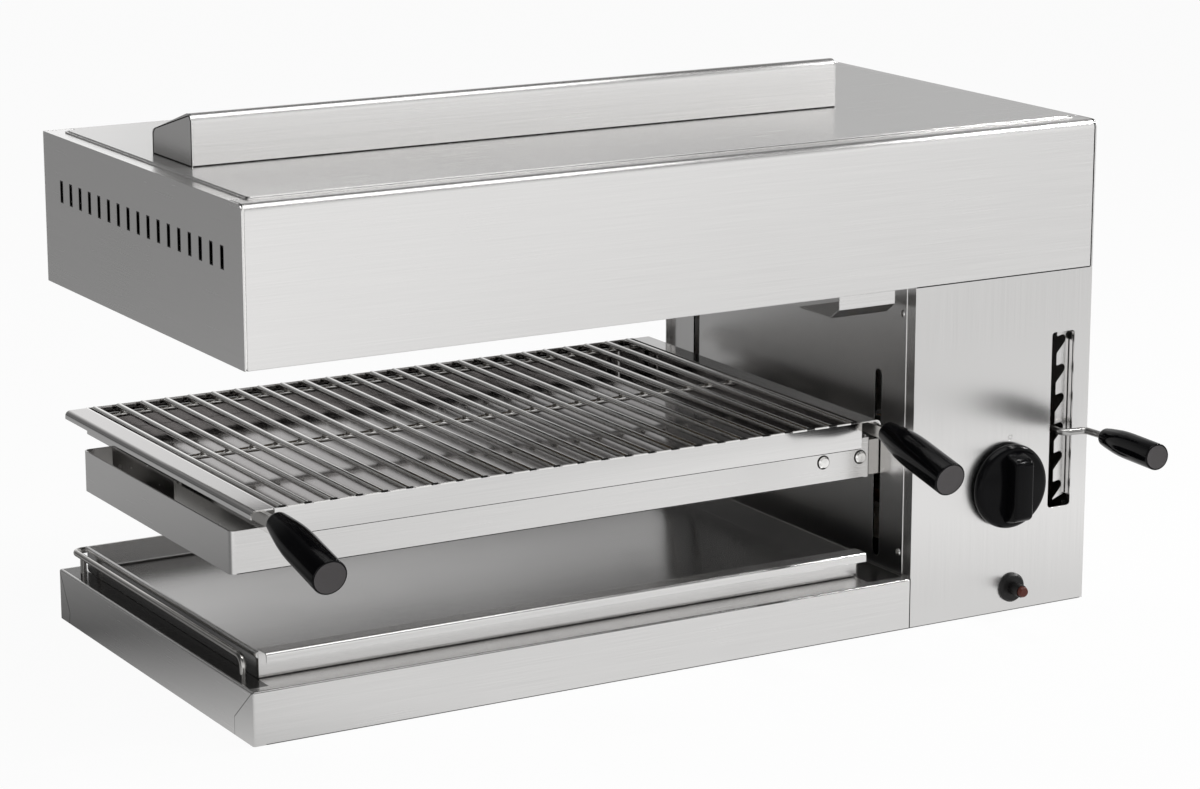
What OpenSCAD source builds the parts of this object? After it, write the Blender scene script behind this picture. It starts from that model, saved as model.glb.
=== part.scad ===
// Gas salamander grill (cheese melter): a burner hood carried on a right-hand column, a grid pan in a
// carriage that rises and falls in the column, and a drip tray in the base.
// The origin is the centre of the footprint, on the underside of the floor pan; +X right, +Y back, +Z up.

/* [Body] */
// Overall width of the casing
body_w = 800; // [760:1:860]
// Depth of the casing
body_d = 395; // [380:1:420]
// Height of the casing without the exhaust cover
body_h = 425; // [425:1:450]
// Height of the burner hood
hood_h = 127.5; // [127:0.5:130]
// Height of the base
base_h = 44; // [40:0.5:46]
// Width of the column
column_w = 184.5; // [184:0.5:200]
// Thickness of the casing sheet
sheet = 1.2; // [1:0.1:1.2]
// Outside radius of the fold along the hood's top front edge
fold_r = 6.8; // [4:0.1:8]

/* [Hood] */
// Number of vent slots in each end of the hood
vent_count = 17; // [5:1:17]
// Height of a vent slot
vent_len = 17.5; // [12:0.5:20]
// Width of a vent slot
vent_wid = 5; // [3:0.5:6]
// Length of the exhaust cover
flue_len = 606; // [500:1:620]
// Height of the exhaust cover above the lid
flue_h = 42; // [30:1:50]

/* [Grid pan] */
// Number of grid rods
rod_count = 25; // [15:1:25]
// Diameter of a grid rod
rod_d = 5; // [4:0.5:6]
// Width of the pan over its side flanges
pan_w = 582; // [560:1:584]
// Depth of the pan from front to back
pan_d = 376; // [350:1:378]
// Height of the pan's walls
pan_h = 24; // [20:1:26]

/* [Lift] */
// Height of the top of the grid in the stored position
grid_z = 187; // [187:1:190]
// Height between two notches of the rack
notch_pitch = 26; // [26:1:26]
// Number of notches
notch_count = 6; // [6:1:6]
// Diameter of the lever rod
lever_d = 6; // [5:0.5:6]
// Diameter of the two guide rods in the column
guide_d = 12; // [10:1:12]

/* [Controls] */
// Diameter of the gas knob
knob_d = 74; // [60:1:78]
// Diameter of a grip at its free end
grip_d = 27; // [22:1:28]
// Length of a pan grip
grip_len = 95; // [80:1:110]

/* [Hidden] */

// Everything below is placed from the front left bottom corner of the casing.
gap = 0.3;
joint_gap = 0.05;
hood_z = body_h - hood_h;
column_x = body_w - column_w;
steel = "#c9c8c6";
dark_steel = "#8d8b89";
bakelite = "#161616";

// Base and drip tray
deck_fold = 2;
pan_floor_t = 1.2;
tray_x = 18.5;
tray_w = 560;
tray_y = 28;
tray_back = 375;
tray_top = base_h + 22;
tray_ledge = 15;
tray_ledge_z = base_h + 25.3;
tray_lip = 7.8;
tray_hem = 1.4;
rail_d = 5.5;
rail_x = 11;
rail_y = 41;
rail_back = 387;
rail_z = 59.8;

// Grid pan
flange_w = 21;
flange_r = 4.5;
lip_h = 7;
pan_x = 5.5;
pan_y = 7;
pan_z = grid_z - pan_h;
wall_x = pan_x + flange_w - pan_floor_t;
inner_w = pan_w - 2 * flange_w;
rod_pitch = 22;
rod_x0 = pan_x + pan_w / 2 - (rod_count - 1) * rod_pitch / 2;
cross_y = [19, 206, 373];
stem_x = pan_x + flange_w / 2;
grip_tilt = 13;
grip_y = -15;
grip_z = grid_z - 4.6;

// Carriage
frame_x = 6;
frame_y = 48;
frame_w = 600;
frame_d = 297;
frame_z = grid_z - 62;
frame_h = 35;
frame_t = 1.5;
frame_lip = 18;
runner_x = [45, 549];
arm_y = [[49.5, 56.5], [345, 352]];
arm_h = 11;
arm_plate_h = 30.5;
arm_z = frame_z + frame_t;
slot_w = 10;
slot_z0 = 52;
yoke_x = column_x + 24.5;
yoke_t = 3;
yoke_z = [frame_z - 25, frame_z + 40];
guide_x = yoke_x + yoke_t + 9;
guide_y = [85, 317];
guide_z = [30, 290];
bracket_t = 3;

// Height lever and its rack
lever_z = grid_z - 31.5;
lever_y = 150;
rack_y = 8;
slot_x0 = 759.3;
slot_x1 = 783.3;
slot_low = 87;
slot_high = 243;
tooth_x = 770.7;
rod_run = tooth_x - lever_d / 2 - 0.5;
lift_up = 3 * notch_pitch;
slot_z1 = arm_z + arm_h + lift_up + 2;

// Controls
knob_x = 714;
knob_z = 114;
igniter_x = 722;
igniter_z = 21;
spindle_r = 4;
pipe_x = 714;
pipe_y = 30;
pipe_z = 60;
burner_z = hood_z + 45;

module at_corner() { translate([-body_w / 2, -body_d / 2, 0]) children(); }

// A rod from a to b.
module rod(a, b, r) {
    v = b - a;
    len = norm(v);
    translate(a) rotate([0, acos(v.z / len), atan2(v.y, v.x)]) cylinder(h = len, r = r, $fn = 24);
}

function unit(v) = v / norm(v);

// How much of each side a bend of radius b takes at the corner path[i].
function bend_cut(path, i, b) = i == 0 || i == len(path) - 1 ? 0
    : b * tan(acos(unit(path[i] - path[i - 1]) * unit(path[i + 1] - path[i])) / 2);

// A rod of radius r along a path, bent to radius b at each corner. The bends are a hair thicker, so that they
// take in the ends of the straights.
module bent_rod(path, r, b) {
    for (i = [0 : len(path) - 2]) {
        v = unit(path[i + 1] - path[i]);
        e = 0.2;
        rod(path[i] + v * (i == 0 ? 0 : bend_cut(path, i, b) - e),
            path[i + 1] - v * (i == len(path) - 2 ? 0 : bend_cut(path, i + 1, b) - e), r);
    }
    for (i = [1 : len(path) - 2]) {
        v = unit(path[i] - path[i - 1]);
        w = unit(path[i + 1] - path[i]);
        n = unit(w - v * (v * w));
        k = cross(-n, v);
        c = path[i] - v * bend_cut(path, i, b) + n * b;
        multmatrix([[-n.x, v.x, k.x, c.x], [-n.y, v.y, k.y, c.y], [-n.z, v.z, k.z, c.z], [0, 0, 0, 1]])
            rotate_extrude(angle = acos(v * w), $fn = 72) translate([b, 0]) circle(r = r + 0.04, $fn = 24);
    }
}

// Points along an arc about c, from angle a to angle b.
function arc(c, r, a, b, n = 8) = [for (k = [0 : n]) let (t = a + (b - a) * k / n) c + r * [cos(t), sin(t)]];

// A flat outline with round corners.
module round_rect(x0, y0, x1, y1, r) {
    for (x = [x0 + r, x1 - r], y = [y0 + r, y1 - r]) translate([x, y]) circle(r = r, $fn = 32);
    translate([x0 + r, y0]) square([x1 - x0 - 2 * r, y1 - y0]);
    translate([x0, y0 + r]) square([x1 - x0, y1 - y0 - 2 * r]);
}

// A slot with round ends, upright, centred on x, from z0 to z1, in the XY plane of a profile.
module slot_2d(x, z0, z1, w) {
    r = w / 2;
    for (z = [z0 + r, z1 - r]) translate([x, z]) circle(r = r, $fn = 32);
    translate([x - r, z0 + r]) square([w, z1 - z0 - w]);
}

// Stands an outline drawn in X and Z up, and gives it a thickness along +Y from y.
module upright(y, t) { translate([0, y + t, 0]) rotate([90, 0, 0]) linear_extrude(t) children(); }

// Stands an outline drawn in Y and Z up, and runs it along +X from x.
module along_x(x, len) { translate([x, 0, 0]) rotate([90, 0, 90]) linear_extrude(len) children(); }

// ---- base ----

module floor_pan() {
    c = sheet + 0.3;
    h = 8;
    color(dark_steel) at_corner() difference() {
        translate([c, c, 0]) cube([body_w - 2 * c, body_d - 2 * c, h]);
        translate([c + sheet, c + sheet, sheet])
            cube([body_w - 2 * (c + sheet), body_d - 2 * (c + sheet), h]);
        for (y = [80 : 35 : 325]) translate([0, 0, -1]) linear_extrude(4)
            round_rect(column_x + 60, y, column_x + 130, y + 8, 3.5);
    }
}

// The outer solid of the base: rounded along its top edges.
module base_block(in, w) {
    r = deck_fold - in;
    hull() {
        for (y = [in + r, body_d - in - r]) {
            translate([in + r, y, base_h - in - r]) sphere(r = r, $fn = 24);
            translate([in + r, y, -1]) cylinder(h = 2, r = r, $fn = 24);
            translate([in + r, y, base_h - in - r]) rotate([0, 90, 0])
                cylinder(h = w - in - r, r = r, $fn = 24);
        }
        translate([w - 1, in, -1]) cube([1, body_d - 2 * in, 2]);
    }
}

module base_cover() {
    color(steel) at_corner() intersection() {
        difference() {
            base_block(0, column_x - gap);
            translate([0, 0, -0.01]) base_block(sheet, column_x + 5);
        }
        translate([-1, -1, 0]) cube([body_w, body_d + 2, base_h + 1]);
    }
}

// A bent rod that fences the drip tray in at its left, back and right.
module tray_rail() {
    x1 = tray_x + tray_w + tray_x - rail_x;
    r = rail_d / 2;
    color(steel) at_corner() {
        bent_rod([[rail_x, rail_y, base_h], [rail_x, rail_y, rail_z], [rail_x, rail_back, rail_z],
            [x1, rail_back, rail_z], [x1, rail_y, rail_z], [x1, rail_y, base_h]], r, 8);
        for (x = [rail_x, x1]) rod([x, rail_back - 21, base_h], [x, rail_back - 21, rail_z], r - 0.1);
    }
}

// ---- column ----

module column_front_panel() {
    z0 = 0.4;
    z1 = hood_z - gap;
    color(steel) at_corner() difference() {
        union() {
            upright(0, sheet) difference() {
                translate([column_x, z0]) square([column_w, z1 - z0]);
                round_rect(slot_x0, slot_low, slot_x1, slot_high, 3);
                translate([knob_x, knob_z]) circle(r = 7, $fn = 32);
                translate([igniter_x, igniter_z]) circle(r = 9.3, $fn = 32);
            }
            translate([column_x, sheet, 14]) cube([sheet, 11, z1 - 14]);
            translate([body_w - sheet, sheet, z0]) cube([sheet, 14, z1 - z0]);
            translate([column_x + sheet, sheet, z1 - sheet]) cube([column_w - 2 * sheet, 12, sheet]);
        }
        translate([knob_x + 3, -1, knob_z + 42]) rotate([-90, 0, 0]) difference() {
            cylinder(h = 1.3, r = 2.4, $fn = 32);
            translate([0, 0, -1]) cylinder(h = 4, r = 1.6, $fn = 32);
        }
    }
}

module column_side_plate() {
    color(dark_steel) at_corner() translate([column_x, 0, 0]) rotate([90, 0, 90])
        linear_extrude(sheet) difference() {
            translate([12.8, base_h + gap]) square([body_d - 14.5, hood_z - base_h - 2 * gap]);
            for (y = arm_y) slot_2d((y[0] + y[1]) / 2, slot_z0, slot_z1, slot_w);
        }
}

module column_side_cover() {
    z1 = hood_z - gap;
    color(steel) at_corner() {
        translate([body_w - sheet, 15.6, 0]) cube([sheet, body_d - 15.6 - sheet - 0.4, z1]);
        translate([body_w - 14, body_d - 2 * sheet - 0.4, 14]) cube([14 - sheet, sheet, z1 - 14]);
        translate([body_w - 14, 18, z1 - sheet]) cube([14 - sheet, body_d - 24, sheet]);
    }
}

module column_back_cover() {
    x0 = column_x - 5;
    color(steel) at_corner() upright(body_d - sheet, sheet) difference() {
        translate([x0, base_h + gap]) square([body_w - x0, hood_z - base_h - 2 * gap]);
        translate([pipe_x, pipe_z]) circle(r = 14, $fn = 48);
        for (k = [0 : 7]) slot_2d(655 + k * 16, 215, 255, 5);
    }
    color(steel) at_corner() upright(body_d - sheet, sheet)
        translate([column_x + gap, 0]) square([column_w - gap, base_h]);
}

// A notch of the rack: a round pocket with a small lip above its mouth and a slanting lower edge.
module notch_2d(z) {
    hull() {
        for (k = [0.35, 1]) translate([776.3, z + k]) circle(r = 3.6, $fn = 32);
        translate([tooth_x - 1, z - 11.5]) square([0.9, 14.8]);
    }
}

// A toothed web behind the opening, folded forward at its right and out again against the back of the
// panel, with a round relief at each end of the fold.
module notch_rack() {
    depth = 1.6;
    fold_x = slot_x1 + 0.2;
    relief_r = 3.6;
    h = slot_high - slot_low - 4;
    color(steel) at_corner() {
        difference() {
            union() {
                upright(rack_y, depth) difference() {
                    polygon([[tooth_x, slot_high + 8], [fold_x + depth, slot_high + 8],
                        [fold_x + depth, slot_low - 8], [slot_x1 - 2, slot_low - 8],
                        [slot_x1 - 2, slot_low + 8], [tooth_x, slot_low + 4]]);
                    for (i = [-2 : notch_count - 3]) notch_2d(lever_z + i * notch_pitch);
                }
                translate([fold_x, sheet, slot_low + 2]) cube([depth, rack_y - sheet, h]);
            }
            for (z = [slot_low + 5, slot_high - 6]) translate([fold_x, 4, z]) rotate([-90, 0, 0])
                cylinder(h = 10, r = relief_r, $fn = 32);
        }
        translate([fold_x, sheet, slot_low + 2]) cube([11, sheet, h]);
    }
}

// ---- hood ----

// The front panel's section in Y and Z: a face with a large round fold at the top.
module hood_section(in) {
    r = fold_r - in;
    h = body_h - in;
    translate([fold_r, body_h - fold_r]) circle(r = r, $fn = 64);
    translate([in, hood_z + in]) square([fold_r - in, hood_h - fold_r - in]);
    translate([fold_r, hood_z + in]) square([60, h - hood_z - in]);
}

module hood_front_panel() {
    color(steel) at_corner() along_x(2.4, body_w - 4.8) difference() {
        intersection() {
            hood_section(0);
            translate([0, hood_z]) square([24, hood_h]);
        }
        hood_section(sheet);
    }
}

// An end of the hood, with a flange turned in along its top and its lower edge.
module hood_end() {
    y1 = body_d - sheet - 0.2;
    difference() {
        union() {
            along_x(0, sheet) intersection() {
                hood_section(0);
                translate([0, hood_z]) square([60, hood_h]);
            }
            translate([0, 60, hood_z]) cube([sheet, y1 - 60, hood_h]);
            translate([sheet, 25, body_h - sheet]) cube([24, y1 - 26, sheet]);
            translate([sheet, 25, hood_z]) cube([12, y1 - 26, sheet]);
        }
        for (k = [0 : vent_count - 1]) translate([-1, 0, 0]) along_x(0, 4)
            slot_2d(36.8 + k * 20.05, hood_z + 72.8, hood_z + 72.8 + vent_len, vent_wid);
    }
}

module hood_left_end() { color(steel) at_corner() hood_end(); }

module hood_right_end() { color(steel) at_corner() translate([body_w, 0, 0]) mirror([1, 0, 0]) hood_end(); }

module hood_back_panel() {
    color(steel) at_corner() {
        translate([0, body_d - sheet, hood_z]) cube([body_w, sheet, hood_h]);
        translate([26, body_d - 26, body_h - sheet]) cube([body_w - 52, 26 - sheet, sheet]);
        translate([26, body_d - 14, hood_z]) cube([body_w - 52, 14 - sheet, sheet]);
    }
}

module hood_underplate() {
    z = hood_z + sheet;
    color(dark_steel) at_corner() difference() {
        translate([3, 3, z]) cube([column_x - 6, body_d - 6, sheet]);
        translate([68, 68, z - 1]) cube([494, 264, 4]);
        for (p = [[577, 50], [590, 60]]) translate([p.x, p.y, z - 1]) cylinder(h = 4, r = 4, $fn = 32);
    }
}

module hood_lid() {
    x0 = 12;
    y0 = 16;
    r = 2;
    color(steel) at_corner() difference() {
        translate([0, 0, body_h]) union() {
            linear_extrude(1) round_rect(x0, y0, body_w - x0, body_d - y0, 4);
            linear_extrude(2) round_rect(x0 + r, y0 + r, body_w - x0 - r, body_d - y0 - r, 4);
        }
        translate([48, 172, body_h - 1]) cube([570, 44, 5]);
    }
}

flue_x = 30.5;
flue_y = 157;
flue_back = 235;
flue_z = 2;

// The exhaust cover's side outline in Y and Z.
module flue_section(in) {
    r = 7 - in;
    z = body_h + flue_z;
    hull() {
        translate([flue_y + 7, z + flue_h - 7]) circle(r = r, $fn = 48);
        translate([flue_back - 5, z + 16]) circle(r = 5 - in, $fn = 48);
        translate([flue_y + in, z - 1]) square([flue_back - flue_y - 2 * in, 1]);
    }
}

module flue_cover() {
    z = body_h + flue_z;
    color(steel) at_corner() along_x(flue_x + sheet, flue_len - 2 * sheet) intersection() {
        difference() {
            flue_section(0);
            flue_section(sheet);
            translate([flue_y + 20, z - 2]) square([flue_back - flue_y, 16]);
        }
        translate([0, z]) square([body_d, 100]);
    }
}

module flue_end_caps() {
    z = body_h + flue_z;
    color(dark_steel) at_corner() for (x = [flue_x, flue_x + flue_len - sheet])
        along_x(x, sheet) intersection() {
            flue_section(0);
            translate([0, z]) square([body_d, 100]);
        }
}

// ---- burner ----

module burner_shroud() {
    z0 = hood_z + 2 * sheet;
    color(dark_steel) at_corner() difference() {
        translate([64, 64, z0]) cube([502, 272, 92]);
        translate([64 + sheet, 64 + sheet, z0 - 1]) cube([502 - 2 * sheet, 272 - 2 * sheet, 92]);
        translate([70, 175, z0 + 80]) cube([490, 38, 20]);
        translate([560, 184, z0 + 30]) cube([10, 32, 32]);
    }
}

module burner_body() {
    z0 = hood_z + 30;
    color("#6f6c6a") at_corner() difference() {
        union() {
            translate([90, 100, z0]) cube([450, 200, 34]);
            for (x = [130, 480]) translate([x, 64 + sheet, z0 + 32]) cube([20, 272 - 2 * sheet, 3]);
        }
        translate([94, 104, z0 - 1]) cube([442, 192, 31]);
        translate([530, 200, z0 + 15]) rotate([0, 90, 0]) cylinder(h = 20, r = 11, $fn = 32);
    }
}

module burner_tiles() {
    z0 = hood_z + 22;
    w = 88;
    color("#e6dccb") at_corner() for (i = [0 : 4], j = [0, 1])
        translate([94.6 + i * (w + 0.3), 104.6 + j * 95.7, z0]) difference() {
            cube([w - 0.3, 95, 12]);
            translate([6, 6, -1]) cube([w - 12.3, 83, 2]);
        }
}

module burner_mesh() {
    z0 = hood_z + 12;
    color(dark_steel) at_corner() {
        difference() {
            translate([90, 100, z0]) cube([450, 200, 18]);
            translate([94, 104, z0 - 1]) cube([442, 192, 20]);
        }
        for (x = [117 : 36 : 520]) rod([x, 103, z0 + 4], [x, 297, z0 + 4], 1.2);
        for (y = [128 : 36 : 290]) rod([93, y, z0 + 6], [537, y, z0 + 6], 1.2);
    }
}

module venturi_tube() {
    color("#6f6c6a") at_corner() translate([540, 200, burner_z]) rotate([0, 90, 0]) difference() {
        rotate_extrude($fn = 48) polygon([[0, 0], [16, 0], [16, 3], [11, 12], [11, 50], [17, 74], [17, 80],
            [0, 80]]);
        translate([0, 0, -1]) cylinder(h = 82, r = 8, $fn = 32);
    }
}

module gas_injector() {
    color("#a8883f") at_corner() translate([622, 200, burner_z]) rotate([0, 90, 0]) difference() {
        rotate_extrude($fn = 32) polygon([[0, 0], [3, 0], [5, 6], [5, 10], [8, 10], [8, 20], [0, 20]]);
        translate([0, 0, -1]) cylinder(h = 22, r = 0.9, $fn = 16);
    }
}

module burner_feed_pipe() {
    z = burner_z;
    color("#b87349") at_corner()
        bent_rod([[642, 200, z], [pipe_x, 200, z], [pipe_x, pipe_y, z], [pipe_x, pipe_y, knob_z + 15]], 5, 20);
}

module gas_inlet_pipe() {
    color("#b87349") at_corner()
        bent_rod([[pipe_x, pipe_y, knob_z - 15], [pipe_x, pipe_y, pipe_z], [pipe_x, 370, pipe_z]], 6, 20);
}

module inlet_fitting() {
    color("#a8883f") at_corner() {
        translate([pipe_x, 370, pipe_z]) rotate([-90, 0, 0]) cylinder(h = 22, r = 15, $fn = 6);
        translate([pipe_x, 392, pipe_z]) rotate([-90, 0, 0]) cylinder(h = 18, r = 10.48, $fn = 48);
    }
}

module tap_body() {
    color("#a8883f") at_corner() translate([knob_x, 0, knob_z]) difference() {
        union() {
            translate([0, 8, 0]) rotate([-90, 0, 0]) cylinder(h = 36, r = 13, $fn = 48);
            translate([0, sheet, 0]) rotate([-90, 0, 0]) cylinder(h = 8 - sheet, r = 10, $fn = 48);
            translate([-11, 19, -15]) cube([22, 22, 30]);
        }
        translate([0, 0, 0]) rotate([-90, 0, 0]) cylinder(h = 23, r = spindle_r + joint_gap, $fn = 48);
        translate([0, 22, 0]) rotate([-90, 0, 0]) cylinder(h = 18, r = 9 + joint_gap, $fn = 48);
    }
}

module thermocouple() {
    color("#b87349") at_corner() {
        bent_rod([[721, 44, 121], [721, 60, 121], [721, 60, 330], [590, 60, 330], [590, 60, 315]], 1.6, 8);
        translate([590, 60, 290]) cylinder(h = 25, r = 3, $fn = 24);
    }
}

module ignition_electrode() {
    color("#e8e4da") at_corner() {
        translate([577, 50, 296]) cylinder(h = 24, r = 3.5, $fn = 24);
        translate([577, 50, 284]) cylinder(h = 12, r = 1, $fn = 16);
    }
}

// A small folded trough hung under the hood beside the column, in front of the pilot flame.
module pilot_guard() {
    t = 1.2;
    color(steel) at_corner() along_x(545, 56) polygon([[10, hood_z], [10 + t, hood_z], [10 + t, 284.4],
        [22.5, 275 + t], [70, 275 + t], [70, 275], [22, 275], [10, 284]]);
}

module igniter_body() {
    color(bakelite) at_corner() translate([igniter_x, 0, igniter_z]) rotate([-90, 0, 0]) difference() {
        union() {
            cylinder(h = 46, r = 9, $fn = 48);
            translate([0, 0, sheet]) cylinder(h = 5, r = 12, $fn = 6);
        }
        translate([0, 0, -1]) cylinder(h = 23, r = 5.5 + joint_gap, $fn = 48);
    }
}

module igniter_bezel() {
    color(bakelite) at_corner() translate([igniter_x, 0, igniter_z]) rotate([90, 0, 0]) difference() {
        rotate_extrude($fn = 48) polygon([[0, 0], [12.8, 0], [12.8, 2], [11, 4], [0, 4]]);
        translate([0, 0, -1]) cylinder(h = 10, r = 5.5 + joint_gap, $fn = 48);
    }
}

// ---- lift guides in the column ----

module guide_rods() {
    color("#d6d6d6") at_corner() for (y = guide_y)
        translate([guide_x, y, guide_z[0]]) cylinder(h = guide_z[1] - guide_z[0], r = guide_d / 2, $fn = 48);
}

module guide_brackets() {
    x0 = column_x + sheet;
    w = guide_x + 12 - x0;
    color(dark_steel) at_corner() for (y = guide_y, side = [0, 1]) {
        z = side == 0 ? guide_z[0] - bracket_t : guide_z[1];
        translate([x0, y - 15, z]) cube([w, 30, bracket_t]);
        translate([x0, y - 15, side == 0 ? z : z - 27]) cube([1.5, 30, 30]);
    }
}

// A coil spring as a swept round wire: turns coils of mean radius cr, wire radius wr, height h.
module coil(turns, cr, wr, h) {
    seg = 14;
    side = 6;
    n = turns * seg;
    pts = [for (i = [0 : n], j = [0 : side - 1])
        let (a = 360 * i / seg, b = 360 * j / side, q = cr + wr * cos(b))
        [q * cos(a), q * sin(a), h * i / n + wr * sin(b)]];
    walls = [for (i = [0 : n - 1], j = [0 : side - 1])
        let (k = (j + 1) % side) [i * side + j, i * side + k, (i + 1) * side + k, (i + 1) * side + j]];
    caps = [[for (j = [side - 1 : -1 : 0]) j], [for (j = [0 : side - 1]) n * side + j]];
    polyhedron(points = pts, faces = concat(walls, caps));
}

module lift_springs() {
    z0 = yoke_z[1] + 1.2;
    color("#9a9a9a") at_corner() for (y = guide_y)
        translate([guide_x, y, z0]) coil(13, 8.4, 0.9, guide_z[1] - z0 - 1.2);
}

module panel_screws() {
    color("#b0afad") at_corner() {
        for (z = [63, 272]) translate([column_x, 19, z]) rotate([0, -90, 0])
            cylinder(h = 1.6, r = 3.2, $fn = 24);
        for (x = [40, 290, 540, 760], z = [hood_z + 8, body_h - 10]) translate([x, body_d, z])
            rotate([-90, 0, 0]) cylinder(h = 1.6, r = 3.2, $fn = 24);
        translate([68, 10, hood_z]) rotate([180, 0, 0]) cylinder(h = 2, r = 3, $fn = 24);
    }
}

// ---- carriage ----

module carriage_frame() {
    x1 = frame_x + frame_w;
    y1 = frame_y + frame_d;
    t = frame_t;
    color(steel) at_corner() difference() {
        translate([0, 0, frame_z]) linear_extrude(frame_h) round_rect(frame_x, frame_y, x1, y1, 5);
        translate([0, 0, frame_z + t]) linear_extrude(frame_h)
            round_rect(frame_x + t, frame_y + t, x1 - t, y1 - t, 3.5);
        translate([frame_x + frame_lip, frame_y + frame_lip, frame_z - 1])
            cube([frame_w - 2 * frame_lip, frame_d - 2 * frame_lip, 5]);
        translate([x1 - 8, arm_y[0][0], frame_z + t]) cube([12, arm_y[0][1] - arm_y[0][0], frame_h]);
    }
}

// Two rails that the pan rests and slides on, and a guide beside each of its walls.
module pan_runners() {
    z0 = frame_z + frame_t;
    top = pan_z - gap;
    guide_top = pan_z + 2.5;
    guide_len = 128;
    color(dark_steel) at_corner() {
        for (x = runner_x, y = x > 300 ? arm_y[0][1] : frame_y + frame_t)
            translate([x, y, z0 + 6]) cube([3, frame_y + frame_d - frame_t - y, top - z0 - 6]);
        translate([wall_x - 3.3, 192, z0]) cube([2, guide_len, guide_top - z0]);
        translate([2 * pan_x + pan_w - wall_x + 1.3, 192, z0]) {
            cube([2, guide_len, guide_top - z0]);
            cube([22, guide_len, 2]);
        }
    }
}

// Two bars bolted to the frame, full height as far as the column and narrow where they pass through its slots.
module carriage_arms() {
    x0 = frame_x + frame_w - 66;
    x1 = column_x - 0.8;
    color("#a9a8a6") at_corner() for (y = arm_y) upright(y[0], y[1] - y[0])
        polygon([[x0, arm_z], [yoke_x, arm_z], [yoke_x, arm_z + arm_h], [x1, arm_z + arm_h],
            [x1, arm_z + arm_plate_h], [x0, arm_z + arm_plate_h]]);
}

module carriage_bolts() {
    color("#d0cfcd") at_corner() for (x = [556.7, 594.3]) {
        translate([x, frame_y, frame_z + 18.5]) rotate([90, 0, 0]) rotate_extrude($fn = 32)
            polygon([[0, 0], [5.4, 0], [5.4, 1.6], [4, 2.8], [0, 3]]);
        translate([x, arm_y[1][1], frame_z + 18.5]) rotate([-90, 0, 0])
            rotate_extrude($fn = 32) polygon([[0, 0], [5.4, 0], [5.4, 1.6], [4, 2.8], [0, 3]]);
    }
}

module lift_yoke() {
    color(dark_steel) at_corner() difference() {
        translate([yoke_x, 45, yoke_z[0]]) cube([yoke_t, 312, yoke_z[1] - yoke_z[0]]);
        translate([yoke_x - 1, 190, yoke_z[0] + 14]) cube([yoke_t + 2, 100, yoke_z[1] - yoke_z[0] - 28]);
    }
}

module lift_bushes() {
    x0 = yoke_x + yoke_t;
    color("#a8883f") at_corner() for (y = guide_y) difference() {
        translate([x0, y - 11, yoke_z[0]]) cube([20, 22, yoke_z[1] - yoke_z[0]]);
        translate([guide_x, y, yoke_z[0] - 1])
            cylinder(h = yoke_z[1] - yoke_z[0] + 2, r = guide_d / 2 + joint_gap, $fn = 48);
    }
}

module lever_bracket() {
    x0 = yoke_x + yoke_t;
    color(dark_steel) at_corner() {
        translate([x0, lever_y - 9, lever_z - 9]) cube([rod_run + 10 - x0, 18, 3.5]);
        translate([x0, lever_y - 9, lever_z - 22]) cube([3, 18, 13]);
    }
}

module lever_pin() {
    color("#d6d6d6") at_corner() translate([rod_run, lever_y, lever_z - 5.5]) {
        cylinder(h = 13, r = 4, $fn = 48);
        translate([0, 0, 11]) cylinder(h = 2, r = 6.5, $fn = 32);
    }
}

// ---- height lever ----

grip_a = [789.1, -37.8, lever_z];
grip_b = [783.5, -117.4, lever_z];
grip_v = unit(grip_b - grip_a);

module lever_rod() {
    r = lever_d / 2;
    color("#b5b4b2") at_corner() difference() {
        union() {
            bent_rod([[rod_run, lever_y - 5, lever_z], [rod_run, -9, lever_z], [788.5, -11.5, lever_z],
                grip_a - grip_v * 8, grip_a + grip_v * 26], r, 6);
            translate([rod_run, lever_y, lever_z - 5.2]) cylinder(h = 10.4, r = 8, $fn = 48);
        }
        translate([rod_run, lever_y, lever_z - 10]) cylinder(h = 20, r = 4 + joint_gap, $fn = 48);
    }
}

// A turned grip, from its rounded rear to its flat end, with a socket for what carries it.
module grip(len, d0, d1) {
    r0 = d0 / 2;
    r1 = d1 / 2;
    rotate_extrude($fn = 48) polygon(concat([[0, 0], [r0 - 4, 0]],
        [for (a = [0 : 15 : 90]) [r0 - 4 + 4 * sin(a), 4 - 4 * cos(a)]],
        [[r0 + (r1 - r0) * 0.55, len * 0.45], [r1 - 0.4, len * 0.82], [r1, len - 5]],
        [for (a = [0 : 15 : 90]) [r1 - 3 + 3 * cos(a), len - 3 + 3 * sin(a)]],
        [[0, len]]));
}

module lever_grip() {
    color(bakelite) at_corner() translate(grip_a) rotate([0, 90, atan2(grip_v.y, grip_v.x)]) difference() {
        grip(norm(grip_b - grip_a), 16, 23);
        translate([0, 0, -1]) cylinder(h = 27.2, r = lever_d / 2, $fn = 24);
    }
}

// ---- grid pan ----

// An outline of the pan's left half in X and Z, turned over to make its right half.
function turned(half) = [for (i = [len(half) - 1 : -1 : 0]) [2 * pan_x + pan_w - half[i].x, half[i].y]];

// The pan: floor, side walls, flanges and their turned-down lips are one folded section, closed by two
// end walls.
module grid_pan() {
    t = pan_floor_t;
    top = grid_z - 1;
    c = [pan_x + flange_r, top - flange_r];
    outside = concat([[pan_x, top - lip_h]], arc(c, flange_r, 180, 90),
        [[wall_x + t, top], [wall_x + t, pan_z + t]]);
    inside = concat([[wall_x, pan_z], [wall_x, top - t]], arc(c, flange_r - t, 90, 180),
        [[pan_x + t, top - lip_h]]);
    color(steel) at_corner() {
        upright(pan_y + t, pan_d - 2 * t) polygon(concat(outside, turned(outside), turned(inside), inside));
        for (y = [pan_y, pan_y + pan_d - t])
            translate([wall_x, y, pan_z]) cube([inner_w + 2 * t, t, top - pan_z]);
    }
}

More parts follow.
